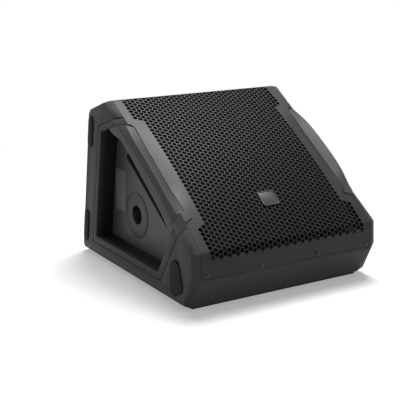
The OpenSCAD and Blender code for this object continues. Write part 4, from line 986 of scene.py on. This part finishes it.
def end_patch(side, x, low, high, rise, lean, base_level):
    """A solid end of the tray over the cheek's edge: it lies a little over the cheek and the sheet, by the
    share that rise gives from its low to its high edge, and its walls go down to a level, leaning along the
    slope. x runs across, low and high bound it up the chord."""
    v = np.linspace(0.0, 1.0, 18)[None, :]
    t = low[:, None] + (high - low)[:, None] * v
    wide = np.broadcast_to(x[:, None], t.shape)
    on_cheek = wide > bpy.context.scene.wedge_sizes.half_front
    top = cheek_level(wide, t) + np.where(on_cheek, OVER_CHEEK, OVER_SHEET) * rise(v)
    base = np.where(on_cheek, base_level, top - END_DEPTH)
    upper = on_chord(side * wide, t, top).reshape(-1, 3)
    lower = on_chord(side * wide, t - lean * (base - top), base).reshape(-1, 3)
    rows, n = t.shape
    count = rows * n
    rim = [(0, q) for q in range(n)] + [(q, n - 1) for q in range(1, rows)]
    rim += [(rows - 1, q) for q in range(n - 2, -1, -1)] + [(q, 0) for q in range(rows - 2, 0, -1)]
    rim = [a * n + b for a, b in rim]
    walls = [[a, a + count, b + count, b] for a, b in zip(rim, rim[1:] + rim[:1])]
    under = [face[::-1] for face in grid_faces(rows, n, start=count)]
    return np.concatenate([upper, lower]), grid_faces(rows, n) + under + walls


def tray_ends(side):
    """The two ends of the tray over the cheek's edge: the lug below the handle and the band above it."""
    p = bpy.context.scene.wedge_sizes
    flat_part, bevel_part = np.linspace(0.2030, 0.1978, 8), np.linspace(0.1965, 0.1881, 7)
    over_cheek = np.concatenate([flat_part, bevel_part])
    over_sheet = np.linspace(0.1874, 0.1697, 12)
    x = np.concatenate([over_cheek, over_sheet])
    low = lug_low(x)
    high = np.maximum(lug_top(x) - 0.0004, low + 0.0012)
    lug = end_patch(side, x, low, high, lambda v: 0.25 + 0.75 * smooth(v, 0.0, 0.12), 0.0,
                    LUG_CUT - 0.0001)
    x = over_cheek
    level = cheek_level(x, 0.335 + 0.0 * x)
    low = UNDER_TRAY + 0.0009 - CUT_LEAN * np.minimum(level, p.inner_level) + handle_top(x) - HANDLE_END
    high = UNDER_TRAY + 0.0158 - CUT_LEAN * level
    band = end_patch(side, x, low, high, lambda v: 1.0 - smooth(v, 0.55, 0.98), CUT_LEAN,
                     BAND_CUT - 0.0001)
    return lug, band


def turned(profile, centre, out, count=56):
    """A closed turned piece on an axis along X: profile holds (radius, height), starts and ends on the axis,
    and the heights run outwards from the centre, to the side that out gives."""
    profile = np.asarray(profile, float)
    a = np.linspace(0.0, 2 * math.pi, count, endpoint=False)
    r, h = profile[1:-1, 0][:, None], profile[1:-1, 1][:, None]
    rings = np.stack([centre[0] + out * h + 0 * a, centre[1] + r * np.cos(a), centre[2] + r * np.sin(a)], -1)
    poles = [[centre[0] + out * profile[k, 1], centre[1], centre[2]] for k in (0, -1)]
    verts = np.concatenate([rings.reshape(-1, 3), poles])
    m = len(r)
    first, last = m * count, m * count + 1
    fans = [[first, (q + 1) % count, q] for q in range(count)]
    fans += [[last, (m - 1) * count + q, (m - 1) * count + (q + 1) % count] for q in range(count)]
    return verts, grid_faces(m, count, ring=True) + fans


def joined(parts):
    """Vertices and faces of several closed meshes as one."""
    verts, faces, start = [], [], 0
    for v, f in parts:
        if outward_volume(v, f) < 0.0:
            f = [list(reversed(face)) for face in f]
        verts.append(v)
        faces += [[start + q for q in face] for face in f]
        start += len(v)
    return np.concatenate(verts), faces


def domed_pad(circles, side, count=96):
    """A rubber pad on a cheek's flat: the outline round the circles (y, z, radius), drawn in step by step
    towards a domed top."""
    p = bpy.context.scene.wedge_sizes
    a = np.linspace(0.0, 2 * math.pi, count, endpoint=False)
    d = np.stack([np.cos(a), np.sin(a)], -1)
    c = np.asarray(circles, float)
    best = np.argmax(c[:, :2] @ d.T + c[:, 2:3], axis=0)
    rings = []
    for inset, height in PAD_STEPS:
        outline = c[best, :2] + (c[best, 2:3] - inset) * d
        rings.append(np.concatenate([np.full((count, 1), side * (p.half_width + height)), outline], 1))
    rows = len(PAD_STEPS)
    caps = [list(range(count))[::-1], [(rows - 1) * count + q for q in range(count)]]
    return np.concatenate(rings), grid_faces(rows, count, ring=True) + caps


def on_back(inset, z):
    """Point (y, z) on the cheek at a distance in front of the back panel."""
    _, (ny, nz), _ = TRAY_SIDES[1]
    return BACK_FOOT[0] + (-inset - (z - BACK_FOOT[1]) * nz) / ny, z


# ---------------------------------------------------------------- operators

class WEDGE_OT_camera(bpy.types.Operator):
    """Makes the camera at the angle of the picture"""

    bl_idname = "wedge.camera"
    bl_label = "Camera"

    def execute(self, context):
        st = context.scene.stage_settings
        data = bpy.data.cameras.new("camera")
        data.lens = st.lens
        data.sensor_width = 36.0
        data.clip_start, data.clip_end = 0.05, 60.0
        cam = looking_at("camera", data, st.eye, st.aim)
        context.scene.camera = cam
        return {"FINISHED"}


class WEDGE_OT_finishes(bpy.types.Operator):
    """Gives every CAD node the finish of its slot or its own, rounds the edges of those listed and smooths
    the shading
    """

    bl_idname = "wedge.finishes"
    bl_label = "Finishes of the CAD nodes"

    def execute(self, context):
        FINISH.update(make_finishes())
        for name, obj in NODES.items():
            finish = FINISH[OWN_FINISH.get(name, SLOT_OF.get(name, "moulding"))]
            for part in obj.material_slots:
                part.link = "OBJECT"
                part.material = finish
            soften(obj, EDGE_WIDTHS.get(name, 0.0), join=name not in RINGS)
        return {"FINISHED"}


class WEDGE_OT_grille(bpy.types.Operator):
    """Makes the folded and perforated grille sheet"""

    bl_idname = "wedge.grille"
    bl_label = "Grille"

    def execute(self, context):
        verts, faces = perforated_sheet()
        obj = mesh_piece("perforated_grille", verts, faces, "grille_paint", "grille_paint", "grille_sheet")
        wall = obj.modifiers.new("wall", "SOLIDIFY")
        wall.thickness = context.scene.wedge_sizes.sheet
        wall.offset = -1.0
        wall.use_even_offset = True
        soften(obj, 0.0, weld=False)
        return {"FINISHED"}


class WEDGE_OT_handles(bpy.types.Operator):
    """Makes the two handles with their screws"""

    bl_idname = "wedge.handles"
    bl_label = "Handles"

    def execute(self, context):
        p = context.scene.wedge_sizes
        for side, name in ((-1, "left_handle"), (1, "right_handle")):
            verts, faces = handle_shell(side)
            obj = mesh_piece(name + "_shell", verts, faces, "moulding", SLOT_OF[name], name)
            soften(obj, 0.0, weld=False, angle=40.0)
        seats = [on_chord(0.0, t, level)[1:] for t, level in SCREW_SEATS]
        parts = [turned(SCREW, (side * p.half_width, *seat), side, 28) for side in (-1, 1) for seat in seats]
        verts, faces = joined(parts)
        obj = mesh_piece("handle_screw_heads", verts, faces, "black_screw", SLOT_OF["handle_screws"],
                         "handle_screws")
        soften(obj, 0.0, weld=False, angle=40.0)
        return {"FINISHED"}


class WEDGE_OT_trays(bpy.types.Operator):
    """Makes the walls, bezels and ends of the two side trays"""

    bl_idname = "wedge.trays"
    bl_label = "Side trays"

    def execute(self, context):
        for side, name in ((-1, "left_tray"), (1, "right_tray")):
            ring = tray_ring(side)
            verts, faces = joined([ring, *tray_ends(side)])
            obj = mesh_piece(name + "_moulding", verts, faces, "tray_moulding", SLOT_OF[name], name)
            obj.data.materials.append(FINISH["moulding"])
            for face in obj.data.polygons[len(ring[1]):]:
                face.material_index = 1
            soften(obj, 0.0, weld=False, angle=38.0)
        return {"FINISHED"}


class WEDGE_OT_sides(bpy.types.Operator):
    """Makes the pads of the cheeks and the pole socket"""

    bl_idname = "wedge.sides"
    bl_label = "Pads and pole socket"

    def execute(self, context):
        p = context.scene.wedge_sizes
        rear = [[(*on_back(REAR_PAD_INSET, z), REAR_PAD_RADIUS) for z in ends] for ends in REAR_PAD_ENDS]
        for side, name in ((-1, "left_side_pads"), (1, "right_side_pads")):
            verts, faces = joined([domed_pad(circles, side) for circles in (FRONT_PAD, *rear)])
            obj = mesh_piece(name + "_domed", verts, faces, "cheek_pad", SLOT_OF[name], name)
            soften(obj, 0.0, weld=False, angle=50.0)
        verts, faces = turned(SOCKET, (-p.plate, p.socket_back, p.socket_height), -1, 96)
        obj = mesh_piece("pole_socket_turned", verts, faces, "bore_plastic", SLOT_OF["pole_socket"],
                         "pole_socket")
        soften(obj, 0.0, weld=False, angle=30.0)
        return {"FINISHED"}


def looking_at(name, data, eye, aim):
    """A camera or lamp at a place that looks at a point."""
    obj = bpy.data.objects.new(name, data)
    obj.location = eye
    obj.rotation_mode = "QUATERNION"
    obj.rotation_quaternion = (Vector(aim) - Vector(eye)).to_track_quat("-Z", "Y")
    bpy.context.scene.collection.objects.link(obj)
    return obj


def seen_rays(t):
    """1 for camera, glossy and transmission rays, else 0."""
    path = t.add("ShaderNodeLightPath").outputs
    seen = path["Is Camera Ray"]
    for kind in ("Is Glossy Ray", "Is Transmission Ray"):
        seen = t.add("ShaderNodeMath", {"operation": "MAXIMUM"}, i0=seen, i1=path[kind]).outputs[0]
    return seen


def studio_world(st):
    """A world that is white where it is seen and gives an even light at the ambient strength."""
    world = bpy.data.worlds.new("studio")
    world.use_nodes = True
    world.node_tree.nodes.clear()
    t = Tree(world.node_tree)
    power = t.add("ShaderNodeMapRange", Value=seen_rays(t), To_Min=st.ambient, To_Max=1.0).outputs[0]
    back = t.add("ShaderNodeBackground", Color=(1.0, 1.0, 1.0, 1.0), Strength=power)
    t.link(back.outputs[0], t.add("ShaderNodeOutputWorld").inputs["Surface"])
    return world


def floor_finish(st, colour):
    """A matt floor that keeps the wedge's shadow and turns plain white further away."""
    mat = bpy.data.materials.new("floor")
    mat.use_nodes = True
    mat.node_tree.nodes.clear()
    t = Tree(mat.node_tree)
    seen = seen_rays(t)
    tone = t.add("ShaderNodeMapRange", Value=seen, To_Min=st.bounce, To_Max=colour).outputs[0]
    shade = t.add("ShaderNodeCombineColor", Red=tone, Green=tone, Blue=tone).outputs[0]
    matt = t.add("ShaderNodeBsdfDiffuse", Color=shade)
    own = t.add("ShaderNodeMath", {"operation": "MULTIPLY"}, i0=seen, i1=st.lift).outputs[0]
    lift = t.add("ShaderNodeEmission", Color=(1.0, 1.0, 1.0, 1.0), Strength=own)
    near = t.add("ShaderNodeAddShader", i0=matt.outputs[0], i1=lift.outputs[0])
    spot = t.add("ShaderNodeTexCoord").outputs["Object"]
    away = t.add("ShaderNodeVectorMath", {"operation": "LENGTH"}, i0=spot).outputs["Value"]
    far = t.add("ShaderNodeMapRange", {"interpolation_type": "SMOOTHSTEP"}, Value=away,
                From_Min=FLOOR_FADE[0], From_Max=FLOOR_FADE[1])
    both = t.add("ShaderNodeMath", {"operation": "MULTIPLY"}, i0=far.outputs[0], i1=seen).outputs[0]
    white = t.add("ShaderNodeEmission", Color=(1.0, 1.0, 1.0, 1.0), Strength=1.0)
    mix = t.add("ShaderNodeMixShader", i0=both, i1=near.outputs[0], i2=white.outputs[0])
    t.link(mix.outputs[0], t.add("ShaderNodeOutputMaterial").inputs["Surface"])
    return mat


class WEDGE_OT_stage(bpy.types.Operator):
    """Makes the floor, the world and the lights"""

    bl_idname = "wedge.stage"
    bl_label = "Stage"

    def execute(self, context):
        scene = context.scene
        st = scene.stage_settings
        scene.view_settings.view_transform = "Standard"
        scene.world = studio_world(st)
        steps = np.linspace(-FLOOR_REACH, FLOOR_REACH, 9)
        x, y = np.meshgrid(steps, steps)
        verts = np.stack([x.ravel(), y.ravel(), np.zeros(x.size)], -1)
        mesh = bpy.data.meshes.new("floor")
        mesh.from_pydata(verts.tolist(), [], grid_faces(9, 9))
        floor = bpy.data.objects.new("floor", mesh)
        scene.collection.objects.link(floor)
        mesh.materials.append(floor_finish(st, scene.wedge_colours.floor[0]))
        self.lamp("overhead", st.key_place, OVERHEAD_AIM, st.key_size, st.key)
        self.lamp("side", st.side_place, SIDE_AIM, st.side_size, st.key * st.side_share)
        return {"FINISHED"}

    @staticmethod
    def lamp(name, place_of, aim, size, power):
        """A soft square light that looks at a point."""
        data = bpy.data.lights.new(name, "AREA")
        data.shape = "RECTANGLE"
        data.size, data.size_y, data.energy = size, size, power
        looking_at(name, data, place_of, aim)


OPERATORS = (WEDGE_OT_camera, WEDGE_OT_finishes, WEDGE_OT_grille, WEDGE_OT_handles, WEDGE_OT_trays,
             WEDGE_OT_sides, WEDGE_OT_stage)


class WEDGE_PT_panel(bpy.types.Panel):
    """Lists the wedge's pieces"""

    bl_idname = "WEDGE_PT_panel"
    bl_label = "Stage monitor wedge"
    bl_space_type = "VIEW_3D"
    bl_region_type = "UI"
    bl_category = "Wedge"

    def draw(self, context):
        for op in OPERATORS:
            self.layout.operator(op.bl_idname)
        scene = context.scene
        for group in (scene.wedge_sizes, scene.wedge_colours, scene.stage_settings):
            for key in group.__annotations__:
                self.layout.prop(group, key)


CLASSES = (WedgeSizes, WedgeColours, StageSettings, *OPERATORS, WEDGE_PT_panel)


def register():
    for cls in CLASSES:
        bpy.utils.register_class(cls)
    bpy.types.Scene.wedge_sizes = bpy.props.PointerProperty(type=WedgeSizes)
    bpy.types.Scene.wedge_colours = bpy.props.PointerProperty(type=WedgeColours)
    bpy.types.Scene.stage_settings = bpy.props.PointerProperty(type=StageSettings)


def unregister():
    del bpy.types.Scene.stage_settings
    del bpy.types.Scene.wedge_colours
    del bpy.types.Scene.wedge_sizes
    for cls in reversed(CLASSES):
        bpy.utils.unregister_class(cls)


def main():
    register()
    for op in OPERATORS:
        group, name = op.bl_idname.split(".")
        getattr(getattr(bpy.ops, group), name)()
    bpy.context.view_layer.update()


if __name__ == "__main__":
    main()
